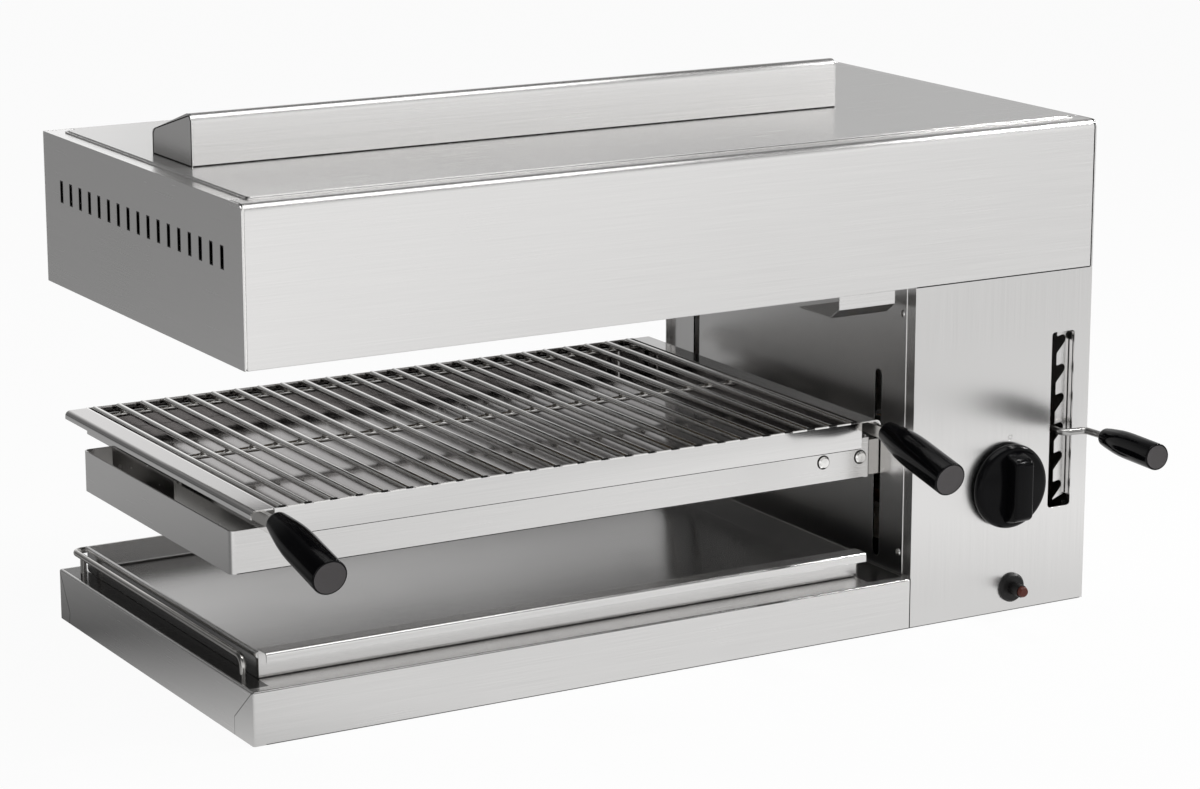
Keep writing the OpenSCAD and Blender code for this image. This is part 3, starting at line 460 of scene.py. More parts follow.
# Painted shade: a dark strip over the cooling slots, where the floor under the casing would be in shadow.
slot_shade_low, slot_shade_high = (672, 76, 1.25), (750, 337, 1.7)
add_strip(form, slot_shade_low, slot_shade_high)
add_line(form, (783.1, 7.95, 96), (783.1, 7.95, 238), 0.7, to_front)
add_line(form, (783.45, 2.4, 96), (783.45, 2.4, 238), 0.8, to_left)
# Painted contact shadow along the casing's foot.
add_line(form, (11, 0, 0.4), (797.5, 0, 0.4), 0.5, to_front)

# Two bright strips are painted highlights: one on the fold beside the hood's front left corner, and one along the
# front of the slotted plate.
dark_faces = set(form.faces)
add_strip(form, (1.25, 0.5, 299), (2.35, 1.0, 424))
edge_radius, edge_length = 0.45 * mm, 252 * mm
bmesh.ops.create_cone(
    form, cap_ends=True, segments=10, radius1=edge_radius, radius2=edge_radius, depth=edge_length,
    matrix=Matrix.Translation(at(615.4, 12.8, 171)))
for face in set(form.faces) - dark_faces:
    face.material_index = 1
bmesh.ops.recalc_face_normals(form, faces=form.faces)
joints = piece_of("sheet_joints_painted_shade_and_highlights", form, [joint_and_shade_dark, highlight_edge_steel])
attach(joints, "casing")

# ---- screws ----
# Pan-head screws of 6.4 mm with a cross recess, in bright stainless, hold the plate beside the grid and the hood's
# back. One more comes through the hood's lower edge at the front.


def grown_tree(name, sizes):
    """An empty Geometry Nodes tree with named sizes, and the outputs of its input node."""
    tree = bpy.data.node_groups.new(name, "GeometryNodeTree")
    tree.interface.new_socket("Geometry", in_out="INPUT", socket_type="NodeSocketGeometry")
    for label, value in sizes.items():
        kind = "NodeSocketInt" if isinstance(value, int) else "NodeSocketFloat"
        tree.interface.new_socket(label, in_out="INPUT", socket_type=kind).default_value = value
    tree.interface.new_socket("Geometry", in_out="OUTPUT", socket_type="NodeSocketGeometry")
    return tree, add(tree, "NodeGroupInput").outputs


def end_tree(tree, geometry, material):
    """Ends a tree: its copies are made real and get their material."""
    real = add(tree, "GeometryNodeRealizeInstances", {"Geometry": geometry})
    painted = add(tree, "GeometryNodeSetMaterial", {"Geometry": real, "Material": material})
    add(tree, "NodeGroupOutput", {"Geometry": painted})


def grow(name, tree, sizes, places=(), facing=(), sharp=35):
    """Runs a tree once on a set of points and keeps what it makes as one plain mesh."""
    start = bpy.data.meshes.new(name + "_points")
    start.from_pydata([tuple(p) for p in places], [], [])
    if facing:
        ways = start.attributes.new("facing", "FLOAT_VECTOR", "POINT")
        ways.data.foreach_set("vector", [c for way in facing for c in way])
    carrier = bpy.data.objects.new(name + "_points", start)
    bpy.context.scene.collection.objects.link(carrier)
    modifier = carrier.modifiers.new("tree", "NODES")
    modifier.node_group = tree
    for socket in tree.interface.items_tree:
        if socket.in_out == "INPUT" and socket.name in sizes:
            modifier[socket.identifier] = sizes[socket.name]
    shaped = carrier.evaluated_get(bpy.context.evaluated_depsgraph_get())
    mesh = bpy.data.meshes.new_from_object(shaped)
    carrier.modifiers.remove(modifier)
    bpy.data.objects.remove(carrier)
    mesh.name = name
    mesh.shade_smooth()
    mesh.set_sharp_from_angle(angle=math.radians(sharp))
    piece = bpy.data.objects.new(name, mesh)
    bpy.context.scene.collection.objects.link(piece)
    return piece


screw_steel = turned_steel("cold_headed_stainless", "#e6e5e3", 0.2)
screw_sizes = {"Head radius": 3.2 * mm, "Head height": 1.55 * mm, "Recess width": 0.9 * mm}
tree, size = grown_tree("pan_head_screws", screw_sizes)
ball = add(tree, "GeometryNodeMeshUVSphere", {"Segments": 24, "Rings": 12, "Radius": 1.0})
spot = add(tree, "ShaderNodeSeparateXYZ", {0: add(tree, "GeometryNodeInputPosition")})
raised = add(tree, "ShaderNodeMath", {0: spot.outputs["Z"], 1: 0.0}, operation="MAXIMUM")
flat = add(tree, "ShaderNodeCombineXYZ", {"X": spot.outputs["X"], "Y": spot.outputs["Y"], "Z": raised})
dome = add(tree, "GeometryNodeSetPosition", {"Geometry": ball, "Position": flat})
spans = add(tree, "ShaderNodeCombineXYZ", {"X": size["Head radius"], "Y": size["Head radius"],
    "Z": size["Head height"]})
head = add(tree, "GeometryNodeTransform", {"Geometry": dome, "Scale": spans})
long_side = add(tree, "ShaderNodeMath", {0: size["Head radius"], 1: 1.15}, operation="MULTIPLY")
bars = []
for order in ("XY", "YX"):
    span = add(tree, "ShaderNodeCombineXYZ", {order[0]: long_side, order[1]: size["Recess width"],
        "Z": size["Head height"]})
    lift = add(tree, "ShaderNodeCombineXYZ", {"Z": size["Head height"]})
    bar = add(tree, "GeometryNodeMeshCube", {"Size": span})
    bars.append(add(tree, "GeometryNodeTransform", {"Geometry": bar, "Translation": lift}))
cut = add(tree, "GeometryNodeMeshBoolean", {"Mesh 1": head, "Mesh 2": bars}, operation="DIFFERENCE")
ways = add(tree, "GeometryNodeInputNamedAttribute", {"Name": "facing"}, data_type="FLOAT_VECTOR")
turned = add(tree, "FunctionNodeAlignRotationToVector", {"Vector": ways.outputs["Attribute"]}, axis="Z")
full_turn = 6.28
spin = add(tree, "FunctionNodeRandomValue", {2: 0.0, 3: full_turn, "Seed": 4}, data_type="FLOAT")
twist = add(tree, "FunctionNodeAxisAngleToRotation", {"Axis": (0, 0, 1), "Angle": spin.outputs[1]})
both = add(tree, "FunctionNodeRotateRotation", {"Rotation": turned, "Rotate By": twist}, rotation_space="LOCAL")
placed = add(tree, "GeometryNodeInstanceOnPoints", {"Points": size["Geometry"], "Instance": cut, "Rotation": both})
end_tree(tree, placed, screw_steel)

screws = [((615.5, 19, z), (-1, 0, 0)) for z in (63, 272)]
screws += [((x, 395, z), (0, 1, 0)) for x in (40, 290, 540, 760) for z in (305.5, 415)]
screws += [((68, 10, 297.5), (0, 0, -1))]
panel_screws = grow("panel_screw_heads", tree, screw_sizes, [at(*p) for p, _ in screws], [way for _, way in screws])
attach(panel_screws, "casing")
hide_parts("panel_screws")

# ---- burner ----
# Ten perforated ceramic tiles in a pressed plenum, behind a woven wire guard in a folded frame. The plenum is fed
# through a cast venturi by a brass injector.


def heated_metal(name, colour, roughness, grit_mm):
    """Plain pressed or cast metal that has been hot: dulled, with patches of scale about 30 mm across."""
    material, tree, coords = new_material(name)
    grit = add(tree, "ShaderNodeTexNoise", {"Vector": coords, "Scale": 1 / (grit_mm * mm), "Detail": 3.0})
    age = add(tree, "ShaderNodeTexNoise", {"Vector": coords, "Scale": 30.0, "Detail": 4.0})
    rough = add(tree, "ShaderNodeMapRange", {"Value": age, "To Min": roughness - 0.08, "To Max": roughness + 0.12})
    fade = add(tree, "ShaderNodeMapRange", {"Value": age, "From Min": 0.3, "From Max": 0.7, "To Min": 0.75,
        "To Max": 1.0})
    tint = add(tree, "ShaderNodeMix", {"Factor": fade, 6: linear("#2c2723"), 7: linear(colour)}, data_type="RGBA")
    bump = add(tree, "ShaderNodeBump", {"Strength": 0.3, "Distance": 0.0002, "Height": grit})
    shader = add(tree, "ShaderNodeBsdfPrincipled", {"Base Color": tint.outputs[2], "Metallic": 1.0,
        "Roughness": rough, "Normal": bump})
    add(tree, "ShaderNodeOutputMaterial", {"Surface": shader})
    return material


def fired_ceramic(name, colour):
    """Unglazed cordierite: chalky and off-white, with a grain of 1 mm, yellowed in patches where it was hot."""
    material, tree, coords = new_material(name)
    grain = add(tree, "ShaderNodeTexNoise", {"Vector": coords, "Scale": 900.0, "Detail": 2.0})
    stain = add(tree, "ShaderNodeTexNoise", {"Vector": coords, "Scale": 22.0, "Detail": 4.0})
    fade = add(tree, "ShaderNodeMapRange", {"Value": stain, "From Min": 0.35, "From Max": 0.7, "To Min": 0.0,
        "To Max": 0.4})
    tint = add(tree, "ShaderNodeMix", {"Factor": fade, 6: linear(colour), 7: linear("#b79d7f")}, data_type="RGBA")
    bump = add(tree, "ShaderNodeBump", {"Strength": 0.4, "Distance": 0.0003, "Height": grain})
    shader = add(tree, "ShaderNodeBsdfPrincipled", {"Base Color": tint.outputs[2], "Roughness": 0.85, "Normal": bump})
    add(tree, "ShaderNodeOutputMaterial", {"Surface": shader})
    return material


ceramic = fired_ceramic("fired_ceramic", "#e4d9c6")
scaled_steel = heated_metal("heated_steel", "#7a7068", 0.42, 2)
finish(scaled_steel, "burner_body")
finish(heated_metal("cast_iron_venturi", "#57524e", 0.6, 1.2), "venturi_tube")
finish(ceramic, "ignition_electrode")

# One tile is drawn face up: a field of flame holes sunk between four rims. It is then turned over and repeated.
tile_sizes = {"Length": 87.7 * mm, "Width": 95.0 * mm, "Height": 12.0 * mm, "Rim": 6.0 * mm, "Recess": 1.0 * mm,
    "Hole depth": 4.0 * mm, "Hole share": 0.52, "Holes along": 13, "Holes across": 14}
tree, size = grown_tree("flame_tiles", tile_sizes)
two_rims = add(tree, "ShaderNodeMath", {0: size["Rim"], 1: 2.0}, operation="MULTIPLY")
field_sizes = {}
for axis, length, holes in (("X", "Length", "Holes along"), ("Y", "Width", "Holes across")):
    span = add(tree, "ShaderNodeMath", {0: size[length], 1: two_rims}, operation="SUBTRACT")
    count = add(tree, "ShaderNodeMath", {0: size[holes], 1: 1.0}, operation="ADD")
    field_sizes.update({"Size " + axis: span, "Vertices " + axis: count})
field = add(tree, "GeometryNodeMeshGrid", field_sizes)
rings = add(tree, "GeometryNodeExtrudeMesh", {"Mesh": field, "Offset Scale": 0.0, "Individual": True}, mode="FACES")
holes = add(tree, "GeometryNodeScaleElements", {"Geometry": rings, "Selection": rings.outputs["Top"],
    "Scale": size["Hole share"]}, domain="FACE")
sunk = add(tree, "ShaderNodeMath", {0: size["Hole depth"], 1: -1.0}, operation="MULTIPLY")
deep = add(tree, "GeometryNodeExtrudeMesh", {"Mesh": holes, "Selection": rings.outputs["Top"], "Offset Scale": sunk,
    "Individual": True}, mode="FACES")
low = add(tree, "ShaderNodeMath", {0: size["Recess"], 1: -1.0}, operation="MULTIPLY")
drop = add(tree, "ShaderNodeCombineXYZ", {"Z": low})
parts = [add(tree, "GeometryNodeTransform", {"Geometry": deep, "Translation": drop})]
mid_z = add(tree, "ShaderNodeMath", {0: size["Height"], 1: -0.5}, operation="MULTIPLY")
for side in (-1, 1):
    for axis, length, other in (("X", size["Length"], size["Width"]), ("Y", size["Width"], size["Length"])):
        span = add(tree, "ShaderNodeCombineXYZ", {axis: length, "XY".replace(axis, ""): size["Rim"],
            "Z": size["Height"]})
        inner = add(tree, "ShaderNodeMath", {0: other, 1: size["Rim"]}, operation="SUBTRACT")
        out = add(tree, "ShaderNodeMath", {0: inner, 1: 0.5 * side}, operation="MULTIPLY")
        shift = add(tree, "ShaderNodeCombineXYZ", {"XY".replace(axis, ""): out, "Z": mid_z})
        rim = add(tree, "GeometryNodeMeshCube", {"Size": span})
        parts.append(add(tree, "GeometryNodeTransform", {"Geometry": rim, "Translation": shift}))
slab_height = 2 * mm
back = add(tree, "ShaderNodeCombineXYZ", {"X": size["Length"], "Y": size["Width"], "Z": slab_height})
back_drop = add(tree, "ShaderNodeMath", {0: slab_height / 2, 1: size["Height"]}, operation="SUBTRACT")
back_z = add(tree, "ShaderNodeCombineXYZ", {"Z": back_drop})
slab = add(tree, "GeometryNodeMeshCube", {"Size": back})
parts.append(add(tree, "GeometryNodeTransform", {"Geometry": slab, "Translation": back_z}))
tile = add(tree, "GeometryNodeJoinGeometry", {"Geometry": parts})
turned_over = add(tree, "GeometryNodeTransform", {"Geometry": tile, "Rotation": (math.pi, 0, 0)})
placed = add(tree, "GeometryNodeInstanceOnPoints", {"Points": size["Geometry"], "Instance": turned_over})
end_tree(tree, placed, ceramic)
tile_rows = [138.45 + 88.3 * i for i in range(5)], [152.1 + 95.7 * j for j in range(2)]
tile_places = [at(x, y, 319.5) for x in tile_rows[0] for y in tile_rows[1]]
tiles = grow("flame_tiles", tree, tile_sizes, tile_places)
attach(tiles, "casing")
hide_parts("burner_tiles")

# The guard's wires are woven plain: where one set rises, the other falls.
guard_sizes = {"Half length": 216.0 * mm, "Half width": 90.0 * mm, "Pitch": 9.0 * mm, "Wire radius": 0.7 * mm,
    "Wires along": 21, "Wires across": 49}
tree, size = grown_tree("woven_guard", guard_sizes)
wire = add(tree, "GeometryNodeCurvePrimitiveCircle", {"Resolution": 6, "Radius": size["Wire radius"]}, mode="RADIUS")
woven, overhang = [], 1.025
for run, step, count, sign, bends in (("X", "Y", "Wires along", 1.0, 197), ("Y", "X", "Wires across", -1.0, 85)):
    reach = size["Half length"] if run == "X" else size["Half width"]
    room = size["Half width"] if run == "X" else size["Half length"]
    ends = [add(tree, "ShaderNodeMath", {0: reach, 1: way * overhang}, operation="MULTIPLY") for way in (-1, 1)]
    start, stop = [add(tree, "ShaderNodeCombineXYZ", {run: end}) for end in ends]
    line = add(tree, "GeometryNodeCurvePrimitiveLine", {"Start": start, "End": stop}, mode="POINTS")
    first = add(tree, "ShaderNodeMath", {0: room, 1: -1.0}, operation="MULTIPLY")
    first_place = add(tree, "ShaderNodeCombineXYZ", {step: first})
    gap = add(tree, "ShaderNodeCombineXYZ", {step: size["Pitch"]})
    row = add(tree, "GeometryNodeMeshLine", {"Count": size[count], "Start Location": first_place, "Offset": gap},
        mode="OFFSET")
    lines = add(tree, "GeometryNodeInstanceOnPoints", {"Points": row, "Instance": line})
    real = add(tree, "GeometryNodeRealizeInstances", {"Geometry": lines})
    fine = add(tree, "GeometryNodeResampleCurve", {"Curve": real, "Count": bends}, mode="COUNT")
    spot = add(tree, "ShaderNodeSeparateXYZ", {0: add(tree, "GeometryNodeInputPosition")})
    waves = []
    for axis in "XY":
        turns = add(tree, "ShaderNodeMath", {0: spot.outputs[axis], 1: size["Pitch"]}, operation="DIVIDE")
        angle = add(tree, "ShaderNodeMath", {0: turns, 1: math.pi}, operation="MULTIPLY")
        waves.append(add(tree, "ShaderNodeMath", {0: angle}, operation="COSINE"))
    weave = add(tree, "ShaderNodeMath", {0: waves[0], 1: waves[1]}, operation="MULTIPLY")
    rise = add(tree, "ShaderNodeMath", {0: size["Wire radius"], 1: sign}, operation="MULTIPLY")
    height = add(tree, "ShaderNodeMath", {0: weave, 1: rise}, operation="MULTIPLY")
    bent = add(tree, "GeometryNodeSetPosition",
        {"Geometry": fine, "Offset": add(tree, "ShaderNodeCombineXYZ", {"Z": height})})
    woven.append(add(tree, "GeometryNodeCurveToMesh", {"Curve": bent, "Profile Curve": wire, "Fill Caps": True}))
both = add(tree, "GeometryNodeJoinGeometry", {"Geometry": woven})
placed = add(tree, "GeometryNodeInstanceOnPoints", {"Points": size["Geometry"], "Instance": both})
end_tree(tree, placed, scaled_steel)
guard = grow("woven_guard", tree, guard_sizes, [at(315, 200, 312.5)], sharp=60)

# Its frame is four strips of 1.5 mm sheet, folded in at the foot to a lip of 7 mm.
sheet, lip, frame_foot, lip_top, frame_top = 1.5, 7, 309.5, 311, 327.5
form = bmesh.new()
form.from_mesh(guard.data)
for y in (100, 298.5):
    add_strip(form, (90, y, frame_foot), (540, y + sheet, frame_top))
for x in (90, 538.5):
    add_strip(form, (x, 101.5, frame_foot), (x + sheet, 298.5, frame_top))
for y in (101.5, 291.5):
    add_strip(form, (91.5, y, frame_foot), (538.5, y + lip, lip_top))
for x in (91.5, 531.5):
    add_strip(form, (x, 108.5, frame_foot), (x + lip, 291.5, lip_top))
form.to_mesh(guard.data)
form.free()
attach(guard, "casing")
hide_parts("burner_mesh")

# ---- gas train ----
# Drawn copper pipe, bent cold between machined brass fittings: from the inlet at the back to the tap, and on to the
# injector. The thermocouple's thin copper tube leads from the burner back to the tap.

brass = heated_metal("machined_brass", "#c9a45c", 0.3, 0.8)
copper = heated_metal("drawn_copper", "#7c513b", 0.45, 1.0)
finish(brass, "gas_injector", "inlet_fitting", "tap_body", "tap_plug", "lift_bushes")
finish(copper, "burner_feed_pipe", "gas_inlet_pipe", "thermocouple")

# ---- lift ----
# Two ground guide rods stand in folded brackets inside the column. Round each is a coil spring of drawn wire, which
# hangs from the upper bracket and holds the carriage's weight.


def drawn_steel(name, colour, roughness, grain):
    """Bright drawn rod or rolled bar: smooth, with faint die lines along it, drawn 0.7 mm apart so that they show."""
    material, tree, coords = new_material(name)
    scale = [12 if axis == grain else 1500 for axis in "XYZ"]
    lines = add(tree, "ShaderNodeMapping", {"Vector": coords, "Scale": scale})
    streaks = add(tree, "ShaderNodeTexNoise", {"Vector": lines, "Scale": 1.0, "Detail": 2.0})
    wear = add(tree, "ShaderNodeTexNoise", {"Vector": coords, "Scale": 60.0, "Detail": 3.0})
    rough = add(tree, "ShaderNodeMapRange", {"Value": wear, "To Min": roughness - 0.02, "To Max": roughness + 0.03})
    fade = add(tree, "ShaderNodeMapRange", {"Value": wear, "From Min": 0.3, "From Max": 0.7, "To Min": 0.95,
        "To Max": 1.0})
    tint = add(tree, "ShaderNodeMix", {"Factor": fade, 6: linear("#565350"), 7: linear(colour)}, data_type="RGBA")
    bump = add(tree, "ShaderNodeBump", {"Strength": 0.15, "Distance": 0.00003, "Height": streaks})
    steel = add(tree, "ShaderNodeBsdfPrincipled", {"Base Color": tint.outputs[2], "Metallic": 1.0, "Roughness": rough,
        "Normal": bump})
    add(tree, "ShaderNodeOutputMaterial", {"Surface": steel})
    return material


ground_rod = drawn_steel("ground_steel_rod", "#d5d3d0", 0.14, "Z")
bar_steel = drawn_steel("rolled_steel_bar", "#c4c2bf", 0.26, "X")
finish(ground_rod, "guide_rods", "lever_pin")
finish(bar_steel, "guide_brackets", "lift_yoke", "lever_bracket")

# The springs are the CAD coils, merged into one smooth mesh.
merge_reach = 0.001 * mm
form = bmesh.new()
form.from_mesh(nodes["lift_springs"].data)
bmesh.ops.remove_doubles(form, verts=form.verts, dist=merge_reach)
spring_wire = drawn_steel("drawn_spring_wire", "#b5b3b0", 0.24, "Z")
springs = piece_of("counterbalance_springs", form, [spring_wire])
springs.data.shade_smooth()
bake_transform(springs)
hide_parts("lift_springs")

# ---- carriage ----
# A ring folded from sheet with welded corners. Two runners inside it carry the pan, and two flat arms are bolted to
# its ends with button-head bolts.

finish(brushed_stainless("brushed_stainless_carriage", "X", "Y"), "carriage_frame")
finish(bar_steel, "carriage_arms", "pan_runners")
finish(turned_steel("button_head_bolt", "#f6f5f3", 0.16), "carriage_bolts")

# The bottom fold and the joint under each front bolt's head are dark.
front_y, bolt_z, washer_radius, washer_depth = 48, 143.5, 6.2 * mm, 0.24 * mm
form = bmesh.new()
add_line(form, (11, front_y, 125.4), (598, front_y, 125.4), 0.6, to_front)
for x in (556.7, 594.3):
    under_head = Matrix.Translation(at(x, front_y, bolt_z)) @ Matrix.Rotation(math.radians(90), 4, "X")
    bmesh.ops.create_cone(
        form, cap_ends=True, segments=32, radius1=washer_radius, radius2=washer_radius, depth=washer_depth,
        matrix=under_head)
bmesh.ops.recalc_face_normals(form, faces=form.faces)
seams = piece_of("carriage_joints", form, [joint_and_shade_dark])
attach(seams, "carriage")

# ---- grid pan ----
# The pan is folded from bright sheet. Its inside is painted darker, as shade under the hood, and the top of its left
# flange a little darker, painted shade too. Its rods lie on three cross bars and are spot welded to them, and a flat
# bar under each flange carries a grip.

bright_sheet = brushed_stainless("bright_stainless_pan", "X", "Y", roughness=0.08, spread=0.8, wear=0.012)
# Painted shade: the pan's inside is darkened, under the hood.
darken(bright_sheet, inside(bright_sheet.node_tree, (26.2, 7.9, 163.5), (567, 382.3, 184.5)), "#9b9897")
# Painted shade: the top of the left flange is a little darker.
darken(bright_sheet, inside(bright_sheet.node_tree, (5, 8.5, 184), (25, 384, 187)), "#c0bebd")
grid_steel = drawn_steel("drawn_steel_grid", "#faf9f7", 0.12, "Y")
finish(bright_sheet, "grid_pan")
finish(grid_steel, "grid_rods", "grid_cross_bars")
finish(bar_steel, "pan_stems")

# Between the rods, a bright round bead along the front wall's top edge is a painted highlight of that edge.
rod_count, rod_pitch = 25, 22
rod_places = [296.5 + rod_pitch * (i - 12) for i in range(rod_count)]
edge_sizes = {"Length": 14.0 * mm, "Radius": 0.9 * mm}
tree, size = grown_tree("painted_highlight_beads", edge_sizes)
ends = [add(tree, "ShaderNodeMath", {0: size["Length"], 1: share}, operation="MULTIPLY") for share in (-0.5, 0.5)]
ends = [add(tree, "ShaderNodeCombineXYZ", {"X": end}) for end in ends]
bar = add(tree, "GeometryNodeCurvePrimitiveLine", {"Start": ends[0], "End": ends[1]}, mode="POINTS")
ring = add(tree, "GeometryNodeCurvePrimitiveCircle", {"Resolution": 10, "Radius": size["Radius"]}, mode="RADIUS")
round_bar = add(tree, "GeometryNodeCurveToMesh", {"Curve": bar, "Profile Curve": ring, "Fill Caps": True})
placed = add(tree, "GeometryNodeInstanceOnPoints", {"Points": size["Geometry"], "Instance": round_bar})
end_tree(tree, placed, highlight_edge_steel)
edge_depth, edge_level = 7.7, 185.9
edge_places = [at(x + rod_pitch / 2, edge_depth, edge_level) for x in rod_places[:-1]]
edges = grow("painted_highlight_beads", tree, edge_sizes, edge_places)
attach(edges, "grid_tray")

# Under the pan's front, where it stands on the carriage, a dark line is painted shadow, and dark boxes where the rods
# end behind the front wall are painted shade in those corners.
corner_reach = 2.9
form = bmesh.new()
add_line(form, (26, 7, 163.3), (567, 7, 163.3), 0.45, to_front)
for x in rod_places:
    add_strip(form, (x - corner_reach, 8.3, 183.4), (x + corner_reach, 9.4, 187.08))
bmesh.ops.recalc_face_normals(form, faces=form.faces)
pan_front_painted_shade = piece_of("pan_front_painted_shade", form, [joint_and_shade_dark])
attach(pan_front_painted_shade, "grid_tray")

# A small bead joins each rod to each of the three cross bars.
weld_sizes = {"Bead radius": 2.0 * mm}
tree, size = grown_tree("spot_welds", weld_sizes)
bead = add(tree, "GeometryNodeMeshIcoSphere", {"Radius": size["Bead radius"], "Subdivisions": 2})
flat = add(tree, "GeometryNodeTransform", {"Geometry": bead, "Scale": (1.2, 1.2, 0.7)})
placed = add(tree, "GeometryNodeInstanceOnPoints", {"Points": size["Geometry"], "Instance": flat})
end_tree(tree, placed, turned_steel("spot_weld", "#8f8a84", 0.4))
cross_bars, weld_level = (19, 206, 373), 182
weld_places = [at(x, y, weld_level) for x in rod_places for y in cross_bars]
welds = grow("grid_welds", tree, weld_sizes, weld_places)
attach(welds, "grid_tray")

# ---- grips ----
# Round grips moulded in black phenolic on their steel stems: glossy from the mould along their length, with a flat
# end that is sanded and lies a little behind its rim.


def moulded_phenolic(name, colour, roughness, gloss=0.3):
    """Phenolic from a polished mould: near black, with a faint orange peel of about 4 mm."""
    material, tree, coords = new_material(name)
    peel = add(tree, "ShaderNodeTexNoise", {"Vector": coords, "Scale": 260.0, "Detail": 2.0})
    rub = add(tree, "ShaderNodeTexNoise", {"Vector": coords, "Scale": 35.0, "Detail": 4.0})
    rough = add(tree, "ShaderNodeMapRange", {"Value": rub, "To Min": roughness - 0.02, "To Max": roughness + 0.04})
    bump = add(tree, "ShaderNodeBump", {"Strength": 0.06, "Distance": 0.0002, "Height": peel})
    shader = add(tree, "ShaderNodeBsdfPrincipled", {"Base Color": linear(colour), "Roughness": rough, "IOR": 1.5,
        "Specular IOR Level": gloss, "Normal": bump})
    add(tree, "ShaderNodeOutputMaterial", {"Surface": shader})
    return material


phenolic = moulded_phenolic("glossy_black_phenolic", "#070709", 0.1, gloss=0.16)
sanded_phenolic = moulded_phenolic("sanded_black_phenolic", "#555253", 0.6, gloss=0.4)


def turn(form, place, profile, steps=64):
    """Turns a profile, given as pairs of a radius and a height in millimetres, from its lower pole to its upper."""
    rings = []
    for radius, height in profile:
        if radius == 0:
            rings.append([form.verts.new(place @ Vector((0, 0, height)))])
        else:
            angles = [2 * math.pi * k / steps for k in range(steps)]
            ring = [Vector((radius * math.cos(a), radius * math.sin(a), height)) for a in angles]
            rings.append([form.verts.new(place @ point) for point in ring])
    faces = []
    for low, high in zip(rings, rings[1:]):
        for k in range(steps):
            n = (k + 1) % steps
            corners = [low[k % len(low)], low[n % len(low)], high[n % len(high)], high[k % len(high)]]
            faces.append(form.faces.new(list(dict.fromkeys(corners))))
    return faces


def rounded(centre, radius, start, stop, count=6):
    """The points of a rounded edge in a profile."""
    angles = [math.radians(start + (stop - start) * k / count) for k in range(count + 1)]
    return [(centre[0] + radius * math.cos(a), centre[1] + radius * math.sin(a)) for a in angles]


def grip_form(form, place, length, rear, front):
    """One grip: a rounded rear, a swelling body, a rolled rim and a flat end let in behind the rim."""
    rear, front, rear_round, rim_round, let_in = rear / 2, front / 2, 4, 1.4, 0.15
    body = [(0, 0), (rear - rear_round, 0)] + rounded((rear - rear_round, rear_round), rear_round, -90, 0)[1:]
    for share, swell in ((0.1, 0.22), (0.2, 0.52), (0.3, 0.8), (0.4, 0.95), (0.5, 1.0), (0.7, 1.0)):
        body.append((rear + (front - rear) * swell, length * share))
    end = (front - 1.5, length - let_in)
    turn(form, place, body + rounded((front - rim_round, length - rim_round), rim_round, 0, 80) + [end])
    for face in turn(form, place, [end, (front * 0.5, length - 0.12), (0, length - 0.1)]):
        face.material_index = 1


form = bmesh.new()
tilt = Matrix.Rotation(math.radians(103), 4, "X") @ Matrix.Scale(mm, 4)
for x in (16, 577):
    grip_form(form, Matrix.Translation(at(x, -15, 182.4)) @ tilt, length=95, rear=19, front=29)
bmesh.ops.remove_doubles(form, verts=form.verts, dist=merge_reach)
pan_grips = piece_of("pan_grip_pair", form, [phenolic, sanded_phenolic], sharp=40)
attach(pan_grips, "grid_tray")
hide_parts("pan_grips")

# ---- height lever ----
# A bent, zinc plated rod that turns on a pin in the carriage's bracket and drops into a notch of the rack. Its grip
# is moulded like those of the pan, but smaller.

finish(drawn_steel("zinc_plated_rod", "#b9b8b6", 0.3, "Y"), "lever_rod")
grip_start, grip_end = at(789.1, -37.8, 155.5), at(783.5, -117.1, 155.5)
along = (grip_end - grip_start).to_track_quat("Z", "Y").to_matrix().to_4x4()
form = bmesh.new()
grip_length = (grip_end - grip_start).length / mm
grip_form(form, Matrix.Translation(grip_start) @ along @ Matrix.Scale(mm, 4), grip_length, rear=16, front=23)
bmesh.ops.remove_doubles(form, verts=form.verts, dist=merge_reach)
lever_grip = piece_of("lever_grip_turned", form, [phenolic, sanded_phenolic], sharp=40)
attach(lever_grip, "height_lever")
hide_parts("lever_grip")

# ---- drip tray and its rail ----
# The tray is folded from sheet brushed along its length, with hems on three sides and a ledge at the front to draw
# it out by. The rail is a bent 5.5 mm rod welded to the deck.

tray_steel = brushed_stainless("brushed_stainless_tray", "X", "Y", roughness=0.2, spread=0.85)
# The tray's inside, under the carriage, is painted darker: painted shade.
darken(tray_steel, inside(tray_steel.node_tree, (18, 29.4, 43), (579, 378, 67)), "#b9b8b7")
finish(tray_steel, "drip_tray")
finish(drawn_steel("drawn_steel_rail", "#cfcdca", 0.16, "Y"), "tray_rail")

# ---- gas knob ----
# A knob moulded in phenolic, with a domed face and a tall bar to turn it by. It is pushed onto the tap's spindle of
# ground steel.

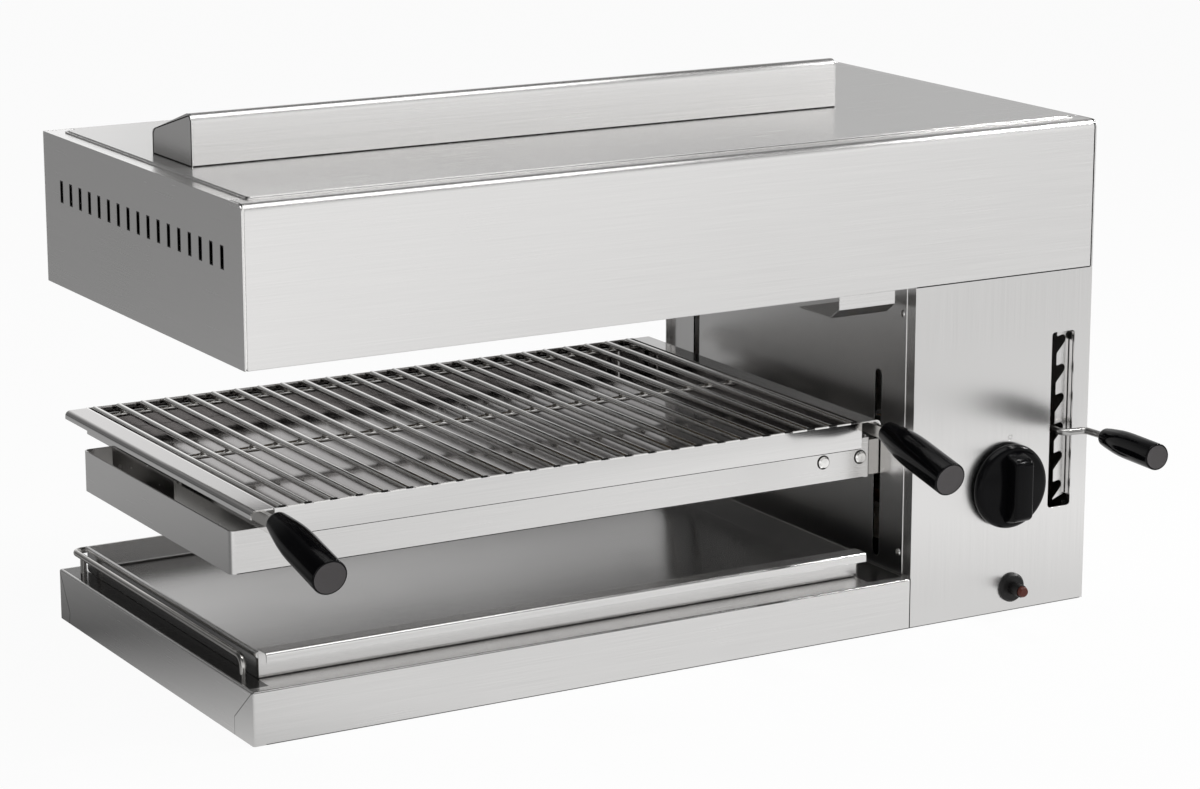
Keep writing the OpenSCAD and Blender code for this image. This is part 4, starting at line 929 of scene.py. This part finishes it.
finish(ground_rod, "tap_spindle")
knob_place = Matrix.Translation(at(714, -3.8, 114)) @ Matrix.Rotation(math.radians(90), 4, "X") @ Matrix.Scale(mm, 4)
face_radius, rim_round, skirt, dome, chamfer = 31, 6, 2, 3, 0.8
knob_radius, face_height = face_radius + rim_round, skirt + rim_round
rim_curve = rounded((face_radius, skirt), rim_round, 0, 82, count=10)
face_curve = [(face_radius * k / 8, face_height + dome * (1 - k * k / 64)) for k in range(7, -1, -1)]
form = bmesh.new()
underside = [(0, 0), (knob_radius - chamfer, 0), (knob_radius, chamfer)]
turn(form, knob_place, underside + rim_curve + face_curve, steps=96)

# The bar has a rounded outline, seen from the side, and all its edges are rounded over.
half_width, edge_round = 9.5, 2.4
bar = bmesh.new()
outline = [(32, 3), (27.5, 20), (24, 24), (-24, 24), (-27.5, 20), (-32, 3)]
sides = [[bar.verts.new((x, y, z)) for y, z in outline] for x in (-half_width, half_width)]
bar.faces.new(sides[0])
bar.faces.new(sides[1][::-1])
for k in range(len(outline)):
    n = (k + 1) % len(outline)
    bar.faces.new([sides[0][n], sides[0][k], sides[1][k], sides[1][n]])
bmesh.ops.recalc_face_normals(bar, faces=bar.faces)
bmesh.ops.bevel(bar, geom=bar.edges[:], offset=edge_round, segments=5, profile=0.5, affect="EDGES")
bar_mesh = bpy.data.meshes.new("knob_bar")
bmesh.ops.transform(bar, matrix=knob_place, verts=bar.verts)
bar.to_mesh(bar_mesh)
bar.free()
form.from_mesh(bar_mesh)
bpy.data.meshes.remove(bar_mesh)
satin_phenolic = moulded_phenolic("satin_black_phenolic", "#0a0a0c", 0.15, gloss=0.1)
knob = piece_of("gas_knob", form, [satin_phenolic], sharp=60)
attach(knob, "tap_knob")
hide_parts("knob")

# ---- igniter ----
# A piezo push button with a red-brown cap, in a body that a moulded nut holds in the panel. All of it but the cap is
# matt black plastic.

finish(moulded_phenolic("matt_black_phenolic", "#1c1b1b", 0.4, gloss=0.3), "igniter_body", "igniter_bezel",
    "igniter_button")
finish(moulded_phenolic("red_brown_cap", "#5b2a20", 0.3), "igniter_cap")

size = {"cad": cad_box, "visual": [list(corner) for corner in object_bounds()]}
